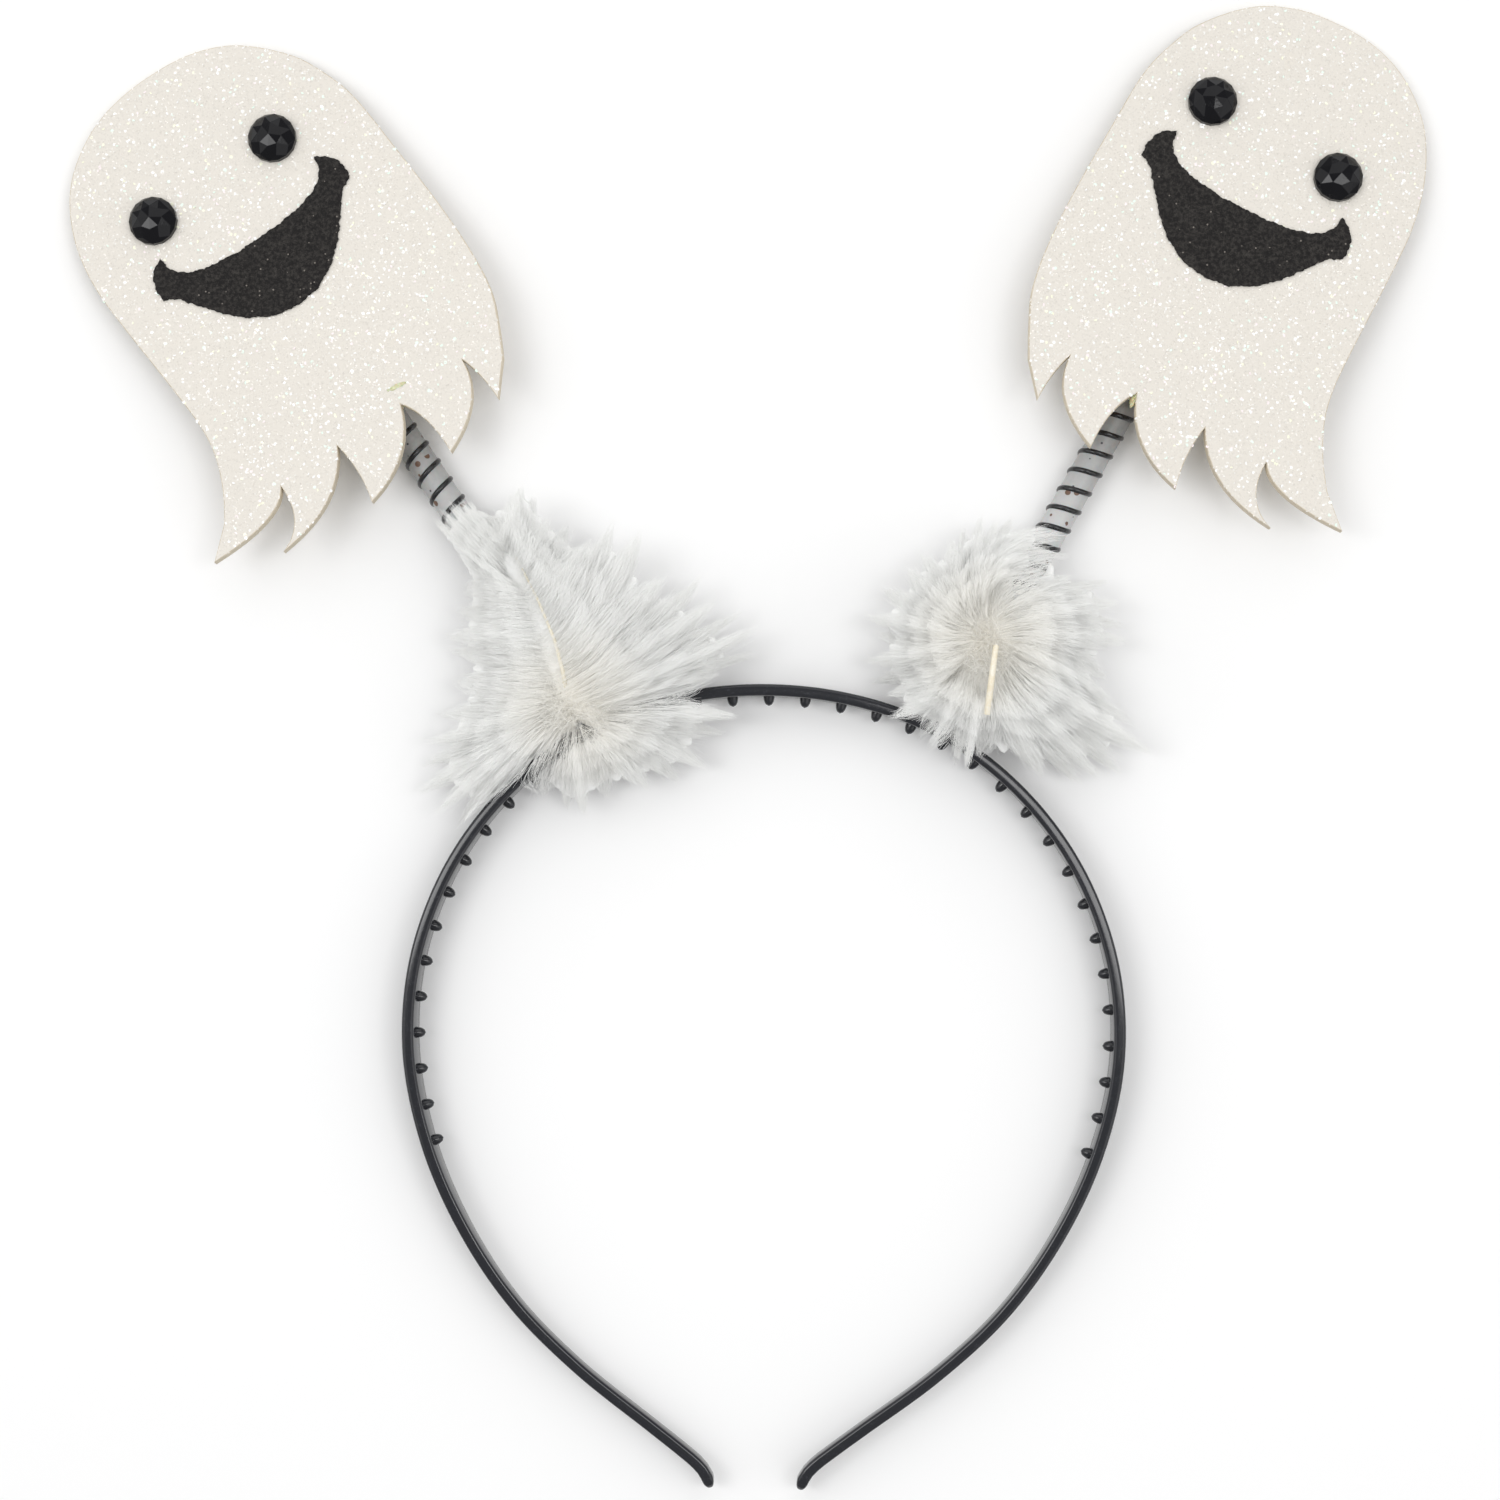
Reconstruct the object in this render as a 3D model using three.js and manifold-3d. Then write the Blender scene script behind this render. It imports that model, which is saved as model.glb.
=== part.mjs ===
// Ghost head bopper: a comb hair band with two springs, each carrying a foam ghost, and a feather puff
// round the foot of each spring. It lies on its side as it would on a table.
// Millimetres. The ring of the band lies in XY, +Y points from its crown to the ghosts, +Z up.
// The origin is the middle of the crown's lower edge.
import * as THREE from 'three';
import { mergeVertices } from 'three/addons/utils/BufferGeometryUtils.js';
import { ConvexGeometry } from 'three/addons/geometries/ConvexGeometry.js';
import Module from 'manifold-3d';

const wasm = await Module();
wasm.setup();

// Clearance between pieces that touch on the real object
const gap = 0.3;

// Headband
const ringWidth = 130;
const ringDepth = 143.4;
const bandThickness = 2.15;
const bandWidth = 8.8;
const bandEdgeRadius = 0.55;
const bandSteps = 60;
const tipRounding = [{ along: 0.5, size: 0.86 }, { along: 0.9, size: 0.5 }];

// Half of the band's centre line, from the crown to a tip, as shares of half the ring's width and of its
// depth, and the band's width there as a share of its width at the crown
const bandPath = [
  { across: 0, down: 0, width: 1 },
  { across: 0.217, down: 0.009, width: 1 },
  { across: 0.427, down: 0.037, width: 1 },
  { across: 0.617, down: 0.086, width: 1 },
  { across: 0.785, down: 0.158, width: 1 },
  { across: 0.909, down: 0.245, width: 1 },
  { across: 0.987, down: 0.351, width: 1 },
  { across: 1, down: 0.463, width: 1 },
  { across: 0.945, down: 0.578, width: 0.84 },
  { across: 0.841, down: 0.682, width: 0.66 },
  { across: 0.695, down: 0.777, width: 0.51 },
  { across: 0.511, down: 0.857, width: 0.44 },
  { across: 0.296, down: 0.93, width: 0.42 },
  { across: 0.213, down: 0.958, width: 0.42 },
  { across: 0.166, down: 0.975, width: 0.42 },
  { across: 0.141, down: 0.988, width: 0.41 },
  { across: 0.13, down: 1, width: 0.4 },
];

// Comb pegs, each a stub with a tapered end
const pegPitch = 6.72;
const pegsPerSide = 18;
const pegDiameter = 2.1;
const pegTipDiameter = 1;
const pegLength = 1.65;
const pegTaperLength = 0.6;
const pegSides = 6;

// Springs, the sleeves that line them and the posts that hold their feet. The feet are measured along
// the band from its crown
const footDistance = 31.8;
const springDiameter = 6.2;
const wireDiameter = 0.8;
const wireSides = 5;
const stepsPerTurn = 8;
const springBehindGhost = 13;
const springDrop = 1;
const sleeveWall = 0.4;
const postLength = 7;
const roundSides = 12;

// Ghosts, in a frame with its origin at the notch over the spring, across towards the object's middle
const ghostWidth = 58;
const ghostHeight = 78.4;
const foamThickness = 2;
const ghostOverSpring = 0.6;
const arcSteps = 5;

// The ghost's outline, as shares of its width and height. The body runs round the head from the
// inner side to the long tail, and each tail is a tip with the bends on both sides of it
const bodyOutline = [
  { across: 0.345, up: -0.046 },
  { across: 0.395, up: 0.028 },
  { across: 0.435, up: 0.102 },
  { across: 0.455, up: 0.204 },
  { across: 0.46, up: 0.344 },
  { across: 0.452, up: 0.51 },
  { across: 0.441, up: 0.663 },
  { across: 0.412, up: 0.752 },
  { across: 0.353, up: 0.845 },
  { across: 0.232, up: 0.94 },
  { across: 0.1, up: 0.986 },
  { across: -0.035, up: 1 },
  { across: -0.155, up: 0.996 },
  { across: -0.262, up: 0.973 },
  { across: -0.355, up: 0.931 },
  { across: -0.427, up: 0.878 },
  { across: -0.48, up: 0.812 },
  { across: -0.517, up: 0.737 },
  { across: -0.538, up: 0.649 },
  { across: -0.542, up: 0.548 },
  { across: -0.537, up: 0.319 },
  { across: -0.54, up: 0.22 },
  { across: -0.56, up: 0.146 },
  { across: -0.605, up: 0.071 },
  { across: -0.66, up: 0.008 },
];
const tails = [
  { tip: [-0.757, -0.057], belly: [-0.5, -0.066], notch: [-0.452, 0.001], back: [-0.448, -0.102] },
  { tip: [-0.559, -0.129], belly: [-0.319, -0.119], notch: [-0.236, 0.004], back: [-0.217, -0.077] },
  { tip: [-0.245, -0.152], belly: [-0.055, -0.121], notch: [0, 0], back: [0.055, -0.057] },
  { tip: [0.045, -0.161], belly: [0.231, -0.105], notch: [0.236, 0.004], back: [0.262, -0.051] },
];
const innerTip = [0.259, -0.121];

// Face: eyes and smile, in a frame with its origin midway between the eyes
const eyeSpacing = 26.5;
const gemDiameter = 8.9;
const gemGirdle = 1.3;
const gemHeight = 3.4;
const gemFacets = 8;
const gemRings = [
  { size: 0.86, up: 0.3, turned: 0.5 },
  { size: 0.47, up: 0.8, turned: 0 },
  { size: 0.14, up: 1, turned: 0.5 },
];
const smileWidth = 41.2;
const smileDepth = 21.8;
const smileBelowEyes = 6.9;
const smileThickness = 0.4;

// Half of the smile's outline from the middle of its upper edge round a corner to its lowest point,
// as shares of half its width and of its depth
const smileOutline = [
  { across: 0, down: 0.328 },
  { across: 0.243, down: 0.321 },
  { across: 0.466, down: 0.298 },
  { across: 0.641, down: 0.252 },
  { across: 0.748, down: 0.183 },
  { across: 0.806, down: 0.096 },
  { across: 0.816, down: 0 },
  { across: 0.908, down: 0.05 },
  { across: 0.971, down: 0.124 },
  { across: 1, down: 0.225 },
  { across: 0.99, down: 0.321 },
  { across: 0.893, down: 0.362 },
  { across: 0.757, down: 0.523 },
  { across: 0.612, down: 0.702 },
  { across: 0.427, down: 0.867 },
  { across: 0.223, down: 0.968 },
  { across: 0, down: 1 },
];

// Glue pads behind the ghosts
const gluePadWidth = 12;
const gluePadLength = 18;
const gluePadDepth = 3.6;
const gluePadStart = -1;

// Feather puffs: a head with locks round it. Each lock has its direction in the plane of the ring, its
// reach from the puff's middle as a share of the puff's reach, and the height that its tip comes to as a
// share of the puff's height. A lock arches over the band on its way
const puffReach = 36;
const puffHeight = 20;
const puffHeadDiameter = 26;
const puffHeadHeight = 19;
const lockWidth = 12.5;
const lockThickness = 6.5;
const lockSides = 5;
const lockArchHeight = 13.8;
const lockStations = [
  { along: 0.15, size: 0.7, arch: 0.6 },
  { along: 0.45, size: 1, arch: 1 },
  { along: 0.8, size: 0.68, arch: 0.4 },
  { along: 1, size: 0.14, arch: 0 },
];
const locksLeft = [
  { turn: 3, reach: 0.72, height: 0.4 },
  { turn: 24, reach: 0.97, height: 0.3 },
  { turn: 44, reach: 0.88, height: 0.75 },
  { turn: 66, reach: 0.88, height: 0.35 },
  { turn: 84, reach: 0.84, height: 0.8 },
  { turn: 101, reach: 1.03, height: 0.5 },
  { turn: 118, reach: 0.97, height: 0.25 },
  { turn: 134, reach: 0.78, height: 0.7 },
  { turn: 152, reach: 0.68, height: 0.3 },
  { turn: 174, reach: 0.6, height: 0.65 },
  { turn: 196, reach: 0.74, height: 0.35 },
  { turn: 217, reach: 0.96, height: 0.2 },
  { turn: 233, reach: 0.78, height: 0.6 },
  { turn: 256, reach: 0.52, height: 0.3 },
  { turn: 278, reach: 0.57, height: 0.65 },
  { turn: 306, reach: 0.58, height: 0.3 },
  { turn: 331, reach: 0.78, height: 0.5 },
  { turn: 353, reach: 0.8, height: 0.2 },
];
const locksRight = [
  { turn: 2, reach: 0.71, height: 0.6 },
  { turn: 19, reach: 0.74, height: 0.25 },
  { turn: 38, reach: 0.7, height: 0.7 },
  { turn: 58, reach: 0.65, height: 0.3 },
  { turn: 84, reach: 0.69, height: 0.75 },
  { turn: 104, reach: 0.62, height: 0.3 },
  { turn: 124, reach: 0.58, height: 0.65 },
  { turn: 146, reach: 0.62, height: 0.25 },
  { turn: 166, reach: 0.64, height: 0.6 },
  { turn: 187, reach: 0.62, height: 0.3 },
  { turn: 211, reach: 0.52, height: 0.6 },
  { turn: 235, reach: 0.55, height: 0.62 },
  { turn: 258, reach: 0.55, height: 0.6 },
  { turn: 287, reach: 0.6, height: 0.62 },
  { turn: 309, reach: 0.81, height: 0.55 },
  { turn: 327, reach: 0.94, height: 0.25 },
  { turn: 345, reach: 0.58, height: 0.65 },
];

// What differs between the two sides. lean is the angle of the spring from +Y and turn that of the ghost,
// reach the length from the band to the ghost's notch, notchAside how far the notch lies from the spring's
// axis towards the middle, wireTurn the angle round that axis that the wire starts at, headShift the
// sideways lean of the ghost's head, headOut how far the outer side of its head is let out, puffAlong the
// puff's place along the spring; the face and smile columns place the face on its ghost
const sides = [
  {
    name: 'left', side: -1, lean: 35, turn: 35.6, reach: 67.6, notchAside: 3, pitch: 3.95,
    wireTurn: 180, headShift: -1.4, headOut: 3.1, faceAcross: -5.3, faceUp: 54.8, faceTurn: 0,
    smileAcross: 0.5, smileTurn: -1.2, puffAlong: 6, locks: locksLeft,
  },
  {
    name: 'right', side: 1, lean: 28.6, turn: 27.5, reach: 69.8, notchAside: -0.85, pitch: 3.87,
    wireTurn: 207, headShift: 1.4, headOut: -0.85, faceAcross: -0.25, faceUp: 53.4, faceTurn: 3.3,
    smileAcross: -1.6, smileTurn: -3.8, puffAlong: 16, locks: locksRight,
  },
];

const colours = {
  plastic: { color: 0x1c1e22, roughness: 0.35, metalness: 0 },
  wire: { color: 0x141416, roughness: 0.3, metalness: 0.6 },
  sleeve: { color: 0xb9bcbe, roughness: 0.5, metalness: 0 },
  foam: { color: 0xeee8de, roughness: 0.8, metalness: 0 },
  flock: { color: 0x242222, roughness: 0.95, metalness: 0 },
  gem: { color: 0x08080a, roughness: 0.08, metalness: 0 },
  feather: { color: 0xf0eeea, roughness: 0.9, metalness: 0 },
  glue: { color: 0xd9d2a0, roughness: 0.4, metalness: 0 },
};

const up = new THREE.Vector3(0, 0, 1);
const radians = THREE.MathUtils.degToRad;
const halfRing = (ringWidth - bandThickness) / 2;
const midHeight = bandWidth / 2;
const springRadius = springDiameter / 2;
const coilRadius = springRadius - wireDiameter / 2;
const sleeveRadius = springRadius - wireDiameter - gap;
const postRadius = sleeveRadius - sleeveWall - gap;

// Solids from meshes and back

function toSolid(geometry) {
  const bare = geometry.clone();
  bare.deleteAttribute('normal');
  bare.deleteAttribute('uv');
  const merged = mergeVertices(bare, 1e-4);
  return new wasm.Manifold(new wasm.Mesh({
    numProp: 3,
    vertProperties: merged.attributes.position.array,
    triVerts: new Uint32Array(merged.index.array),
  }));
}

function toGeometry(solid) {
  const { vertProperties, triVerts } = solid.getMesh();
  const geometry = new THREE.BufferGeometry();
  geometry.setAttribute('position', new THREE.BufferAttribute(vertProperties, 3));
  geometry.setIndex(new THREE.BufferAttribute(triVerts, 1));
  geometry.computeVertexNormals();
  return geometry;
}

function union(geometries) {
  return geometries.map(toSolid).reduce((whole, part) => whole.add(part));
}

// A closed solid through rings of points, capped at both ends. Each ring runs the same way round,
// counterclockwise as seen from the end that the rings lead to
function loft(rings) {
  const count = rings[0].length;
  const last = (rings.length - 1) * count;
  const faces = [];
  for (let start = 0; start < last; start += count) {
    for (let i = 0; i < count; i++) {
      const a = start + i;
      const b = start + ((i + 1) % count);
      faces.push(a, b, a + count, b, b + count, a + count);
    }
  }
  for (let i = 1; i + 1 < count; i++) {
    faces.push(0, i + 1, i, last, last + i, last + i + 1);
  }
  const geometry = new THREE.BufferGeometry().setFromPoints(rings.flat());
  geometry.setIndex(faces);
  return geometry;
}

// A ring of points round a centre, in the plane of two directions
function ring(centre, first, second, points) {
  return points.map(([a, b]) => centre.clone().addScaledVector(first, a).addScaledVector(second, b));
}

function circle(radius, count, squash = 1) {
  return Array.from({ length: count }, (_, i) => {
    const angle = (i / count) * 2 * Math.PI;
    return [radius * Math.cos(angle), radius * squash * Math.sin(angle)];
  });
}

function mesh(name, geometry, material) {
  const made = new THREE.Mesh(geometry, new THREE.MeshStandardMaterial(material));
  made.name = name;
  return made;
}

// Headband

const bandRows = [...bandPath.slice(1).reverse().map((row) => ({ ...row, across: -row.across })), ...bandPath];
const bandCurve = new THREE.CatmullRomCurve3(
  bandRows.map((row) => new THREE.Vector3(row.across * halfRing, -row.down * ringDepth, midHeight)),
);
const bandLength = bandCurve.getLength();

// The centre line at a distance from the crown along it, with its directions along and outwards and the
// band's width there
function bandAt(distance) {
  const share = THREE.MathUtils.clamp(0.5 + distance / bandLength, 0, 1);
  const along = bandCurve.getTangentAt(share);
  const outward = new THREE.Vector3().crossVectors(up, along);
  const place = bandCurve.getUtoTmapping(share) * (bandRows.length - 1);
  const row = Math.min(Math.floor(place), bandRows.length - 2);
  const widthShare = THREE.MathUtils.lerp(bandRows[row].width, bandRows[row + 1].width, place - row);
  return { centre: bandCurve.getPointAt(share), along, outward, width: bandWidth * widthShare };
}

// The band's section as points outwards and up, with rounded corners
function bandSection(outer, inner, width, radius) {
  const corners = [
    { out: outer - radius, rise: width / 2 - radius, start: 0 },
    { out: inner + radius, rise: width / 2 - radius, start: 90 },
    { out: inner + radius, rise: -width / 2 + radius, start: 180 },
    { out: outer - radius, rise: -width / 2 + radius, start: 270 },
  ];
  return corners.flatMap(({ out, rise, start }) => [0, 45, 90].map((turn) => {
    const angle = radians(start + turn);
    return [out + radius * Math.cos(angle), rise + radius * Math.sin(angle)];
  }));
}

function bandBody() {
  const half = bandThickness / 2;
  const section = (width) => bandSection(half, -half, width, bandEdgeRadius);
  const rings = [];
  for (let i = 0; i <= bandSteps; i++) {
    const at = bandAt((i / bandSteps - 0.5) * bandLength);
    rings.push(ring(at.centre, at.outward, up, section(at.width)));
  }
  for (const end of [-1, 1]) {
    const at = bandAt((end * bandLength) / 2);
    for (const { along, size } of tipRounding) {
      const centre = at.centre.clone().addScaledVector(at.along, end * along * bandThickness / 2);
      const points = section(at.width).map(([a, b]) => [a * size, b * size]);
      const added = ring(centre, at.outward, up, points);
      if (end < 0) rings.unshift(added);
      else rings.push(added);
    }
  }
  return loft(rings);
}

function peg(distance) {
  const at = bandAt(distance);
  const inward = at.outward.clone().negate();
  const tip = bandThickness / 2 + pegLength;
  const stations = [
    { along: 0, size: pegDiameter },
    { along: tip - pegTaperLength, size: pegDiameter },
    { along: tip, size: pegTipDiameter },
  ];
  return loft(stations.map(({ along, size }) => ring(
    at.centre.clone().addScaledVector(inward, along), at.along, up, circle(size / 2, pegSides),
  )));
}

// A spring's axis: its foot on the band's centre line, its directions, and the lengths that it starts
// and ends at, clear of the band's face
function springAxis({ side, lean, reach }) {
  const base = bandAt(side * footDistance);
  const end = reach + springBehindGhost;
  const along = new THREE.Vector3(
    side * Math.sin(radians(lean)), Math.cos(radians(lean)), -springDrop / end,
  ).normalize();
  const across = new THREE.Vector3().crossVectors(along, up).normalize();
  const rise = new THREE.Vector3().crossVectors(across, along);
  const skew = along.angleTo(base.outward);
  const start = (bandThickness / 2 + gap + springRadius * Math.sin(skew)) / Math.cos(skew);
  return { foot: base.centre, along, across, rise, start, end };
}

function rod(axis, radius, from, to, count = roundSides) {
  return loft([from, to].map((distance) => ring(
    axis.foot.clone().addScaledVector(axis.along, distance), axis.rise, axis.across, circle(radius, count),
  )));
}

function post(sideRow) {
  return rod(springAxis(sideRow), postRadius, 0, bandThickness / 2 + postLength);
}

function headband() {
  const pegs = [];
  for (let i = -pegsPerSide; i <= pegsPerSide; i++) pegs.push(peg(i * pegPitch));
  return toGeometry(union([bandBody(), ...pegs, ...sides.map(post)]));
}

// Springs and sleeves

function spring(sideRow) {
  const axis = springAxis(sideRow);
  const { pitch, wireTurn } = sideRow;
  const wireRadius = wireDiameter / 2;
  const from = axis.start + wireRadius;
  const steps = Math.floor(((axis.end - wireRadius - from) / pitch) * stepsPerTurn);
  const rings = [];
  for (let i = 0; i <= steps; i++) {
    const angle = radians(wireTurn) + (i / stepsPerTurn) * 2 * Math.PI;
    const outward = axis.rise.clone().multiplyScalar(Math.cos(angle))
      .addScaledVector(axis.across, Math.sin(angle));
    const around = axis.across.clone().multiplyScalar(Math.cos(angle))
      .addScaledVector(axis.rise, -Math.sin(angle));
    const centre = axis.foot.clone()
      .addScaledVector(axis.along, from + (i / stepsPerTurn) * pitch)
      .addScaledVector(outward, coilRadius);
    const tangent = around.multiplyScalar(2 * Math.PI * coilRadius)
      .addScaledVector(axis.along, pitch).normalize();
    const sideways = new THREE.Vector3().crossVectors(tangent, outward);
    rings.push(ring(centre, outward, sideways, circle(wireRadius, wireSides)));
  }
  return loft(rings);
}

function sleeve(sideRow) {
  const axis = springAxis(sideRow);
  const outside = toSolid(rod(axis, sleeveRadius, axis.start, axis.end));
  const inside = toSolid(rod(axis, sleeveRadius - sleeveWall, axis.start - gap, axis.end + gap));
  return toGeometry(outside.subtract(inside));
}

// Ghosts

// The group that a ghost and what is on it are built in: origin at the notch on the foam's back, Y up
// the ghost and Z towards its front. The head's end is low enough to touch the surface
function ghostFrame(sideRow) {
  const { side, turn, reach, notchAside } = sideRow;
  const axis = springAxis(sideRow);
  const springEnd = axis.foot.clone().addScaledVector(axis.along, axis.end);
  const backAtSpringEnd = springEnd.z + springRadius + ghostOverSpring + gap;
  const tilt = Math.asin(backAtSpringEnd / (ghostHeight - springBehindGhost));
  const group = new THREE.Group();
  group.position.copy(axis.foot)
    .addScaledVector(axis.along, reach)
    .addScaledVector(axis.across, -side * notchAside);
  group.position.z = ghostHeight * Math.sin(tilt);
  group.rotation.set(-tilt, 0, -side * radians(turn), 'ZXY');
  return group;
}

// A point of the ghost's outline, with its head leaned and its outer side let out, turned over for the
// right-hand one
function ghostPoint({ side, headShift, headOut }, [across, rise]) {
  const outerShare = 2 * Math.max(-across, 0);
  const shift = Math.max(rise, 0) * (headShift - headOut * outerShare);
  return new THREE.Vector2(-side * (across * ghostWidth + shift), rise * ghostHeight);
}

// The outline without its first point: a bend from one point to another
function bend(from, control, to) {
  return new THREE.QuadraticBezierCurve(from, control, to).getPoints(arcSteps).slice(1);
}

function ghostOutline(sideRow) {
  const place = (shares) => ghostPoint(sideRow, shares);
  const body = new THREE.SplineCurve(bodyOutline.map((row) => place([row.across, row.up])));
  const points = body.getPoints((bodyOutline.length - 1) * 2);
  points.push(place(tails[0].tip));
  tails.forEach(({ tip, belly, notch, back }, i) => {
    const nextTip = i + 1 < tails.length ? tails[i + 1].tip : innerTip;
    points.push(...bend(place(tip), place(belly), place(notch)));
    points.push(...bend(place(notch), place(back), place(nextTip)));
  });
  return points;
}

function ghost(sideRow) {
  const shape = new THREE.Shape(ghostOutline(sideRow));
  return new THREE.ExtrudeGeometry(shape, { depth: foamThickness, bevelEnabled: false });
}

// Faces

function gem() {
  const points = [];
  const addRing = (radius, height, count, turned) => {
    for (let i = 0; i < count; i++) {
      const angle = ((i + turned) / count) * 2 * Math.PI;
      points.push(new THREE.Vector3(radius * Math.cos(angle), radius * Math.sin(angle), height));
    }
  };
  const radius = gemDiameter / 2;
  addRing(radius, 0, gemFacets * 2, 0);
  addRing(radius, gemGirdle, gemFacets * 2, 0);
  gemRings.forEach(({ size, up: share, turned }) => {
    addRing(radius * size, gemGirdle + (gemHeight - gemGirdle) * share, gemFacets, turned);
  });
  return new ConvexGeometry(points);
}

function smile() {
  const place = ({ across, down }, hand) => new THREE.Vector2(
    (hand * across * smileWidth) / 2, (0.5 - down) * smileDepth,
  );
  const right = smileOutline.map((row) => place(row, 1));
  const left = smileOutline.slice(1, -1).reverse().map((row) => place(row, -1));
  const shape = new THREE.Shape([...right, ...left]);
  return new THREE.ExtrudeGeometry(shape, { depth: smileThickness, bevelEnabled: false });
}

function face(sideRow) {
  const { name, side, faceAcross, faceUp, faceTurn, smileAcross, smileTurn } = sideRow;
  const group = new THREE.Group();
  group.position.set(-side * faceAcross, faceUp, foamThickness + gap);
  group.rotation.z = -side * radians(faceTurn);
  [['outer', side], ['inner', -side]].forEach(([place, hand]) => {
    const eye = mesh(`eye_${name}_${place}`, gem(), colours.gem);
    eye.position.x = (hand * eyeSpacing) / 2;
    group.add(eye);
  });
  const mouth = mesh(`smile_${name}`, smile(), colours.flock);
  mouth.position.set(-side * smileAcross, -smileBelowEyes - smileDepth / 2, 0);
  mouth.rotation.z = -side * radians(smileTurn);
  group.add(mouth);
  return group;
}

// Glue pad between a ghost's back and its spring, hollowed for the spring
function gluePad(sideRow, frame) {
  const { side, notchAside } = sideRow;
  const shape = new THREE.Shape();
  const middle = gluePadStart + gluePadLength / 2;
  shape.absellipse(side * notchAside, middle, gluePadWidth / 2, gluePadLength / 2, 0, 2 * Math.PI, false);
  const block = new THREE.ExtrudeGeometry(shape, {
    depth: gluePadDepth, bevelEnabled: false, curveSegments: roundSides,
  });
  block.translate(0, 0, -gap - gluePadDepth);
  frame.updateMatrix();
  block.applyMatrix4(frame.matrix);
  const axis = springAxis(sideRow);
  const room = rod(axis, springRadius + gap, axis.start, axis.end + gap);
  return toGeometry(toSolid(block).subtract(toSolid(room)));
}

// Puffs

// The space that the band and its pegs need, with the gap all round
function bandRoom() {
  const rings = [];
  for (let i = 0; i <= bandSteps; i++) {
    const at = bandAt((i / bandSteps - 0.5) * bandLength);
    const section = bandSection(
      bandThickness / 2 + gap, -bandThickness / 2 - pegLength - gap, bandWidth + 2 * gap, bandEdgeRadius,
    );
    rings.push(ring(at.centre, at.outward, up, section));
  }
  return loft(rings);
}

function lock(middle, { turn, reach, height }) {
  const along = new THREE.Vector3(Math.cos(radians(turn)), Math.sin(radians(turn)), 0);
  const across = new THREE.Vector3().crossVectors(up, along);
  const squash = lockThickness / lockWidth;
  return loft(lockStations.map((station) => {
    const tipHeight = height * puffHeight;
    const line = THREE.MathUtils.lerp(middle.z, tipHeight, station.along);
    const arched = THREE.MathUtils.lerp(line, lockArchHeight, station.arch);
    const centre = middle.clone().addScaledVector(along, station.along * reach * puffReach);
    centre.z = arched;
    return ring(centre, across, up, circle((lockWidth / 2) * station.size, lockSides, squash));
  }));
}

function puffHead(middle) {
  const head = new THREE.SphereGeometry(puffHeadDiameter / 2, roundSides, roundSides / 2);
  head.rotateX(Math.PI / 2);
  head.scale(1, 1, puffHeadHeight / puffHeadDiameter);
  head.translate(middle.x, middle.y, middle.z);
  return head;
}

// The half space over the surface that the puff lies on
function overSurface(middle) {
  const span = 4 * puffReach;
  const box = new THREE.BoxGeometry(span, span, span);
  box.translate(middle.x, middle.y, span / 2);
  return box;
}

function puff(sideRow) {
  const axis = springAxis(sideRow);
  const middle = axis.foot.clone().addScaledVector(axis.along, sideRow.puffAlong);
  middle.z = puffHeadHeight / 2;
  const whole = union([puffHead(middle), ...sideRow.locks.map((row) => lock(middle, row))]);
  const room = rod(axis, springRadius + gap, -springRadius, axis.end);
  return toGeometry(whole
    .intersect(toSolid(overSurface(middle)))
    .subtract(toSolid(bandRoom()))
    .subtract(toSolid(room)));
}

// The whole object

const bopper = new THREE.Group();
bopper.add(mesh('headband', headband(), colours.plastic));
sides.forEach((sideRow) => {
  const { name } = sideRow;
  const frame = ghostFrame(sideRow);
  frame.add(mesh(`ghost_${name}`, ghost(sideRow), colours.foam), face(sideRow));
  bopper.add(
    mesh(`spring_${name}`, spring(sideRow), colours.wire),
    mesh(`sleeve_${name}`, sleeve(sideRow), colours.sleeve),
    mesh(`glue_${name}`, gluePad(sideRow, frame), colours.glue),
    mesh(`puff_${name}`, puff(sideRow), colours.feather),
    frame,
  );
});

export default bopper;
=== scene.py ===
"""Ghost head bopper: a comb hair band with two springs, two glitter foam ghosts and two feather puffs.

Everything is in metres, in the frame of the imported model: the ring of the band lies in XY, +Y points from
its crown to the ghosts and +Z up. Run as a script, it dresses the model and sets a studio round it."""
import math
from collections import namedtuple

import bmesh
import bpy
import numpy as np
from bpy.props import FloatProperty, FloatVectorProperty, IntProperty, PointerProperty
from mathutils import Matrix, Vector, noise
from mathutils.kdtree import KDTree


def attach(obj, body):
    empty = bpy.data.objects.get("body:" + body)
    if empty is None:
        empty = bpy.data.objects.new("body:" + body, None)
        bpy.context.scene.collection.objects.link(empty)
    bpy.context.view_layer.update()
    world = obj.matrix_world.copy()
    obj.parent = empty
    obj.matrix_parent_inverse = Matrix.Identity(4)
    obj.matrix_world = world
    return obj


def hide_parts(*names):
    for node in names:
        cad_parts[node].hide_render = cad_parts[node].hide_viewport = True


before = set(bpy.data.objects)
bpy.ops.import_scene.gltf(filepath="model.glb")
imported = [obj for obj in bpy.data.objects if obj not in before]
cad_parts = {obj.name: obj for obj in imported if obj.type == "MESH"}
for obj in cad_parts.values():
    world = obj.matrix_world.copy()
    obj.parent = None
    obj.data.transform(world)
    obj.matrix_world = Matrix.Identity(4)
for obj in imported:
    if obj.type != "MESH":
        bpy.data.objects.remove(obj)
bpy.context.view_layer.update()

bl_info = {
    "name": "Ghost head bopper",
    "version": (1, 0, 0),
    "blender": (4, 5, 0),
    "location": "View3D > Sidebar > Bopper",
    "description": "Dresses a comb hair band with springs, foam ghosts and feather puffs",
    "category": "Object",
}

MM = 0.001
BODY = "root"
SEED = 7

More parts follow.
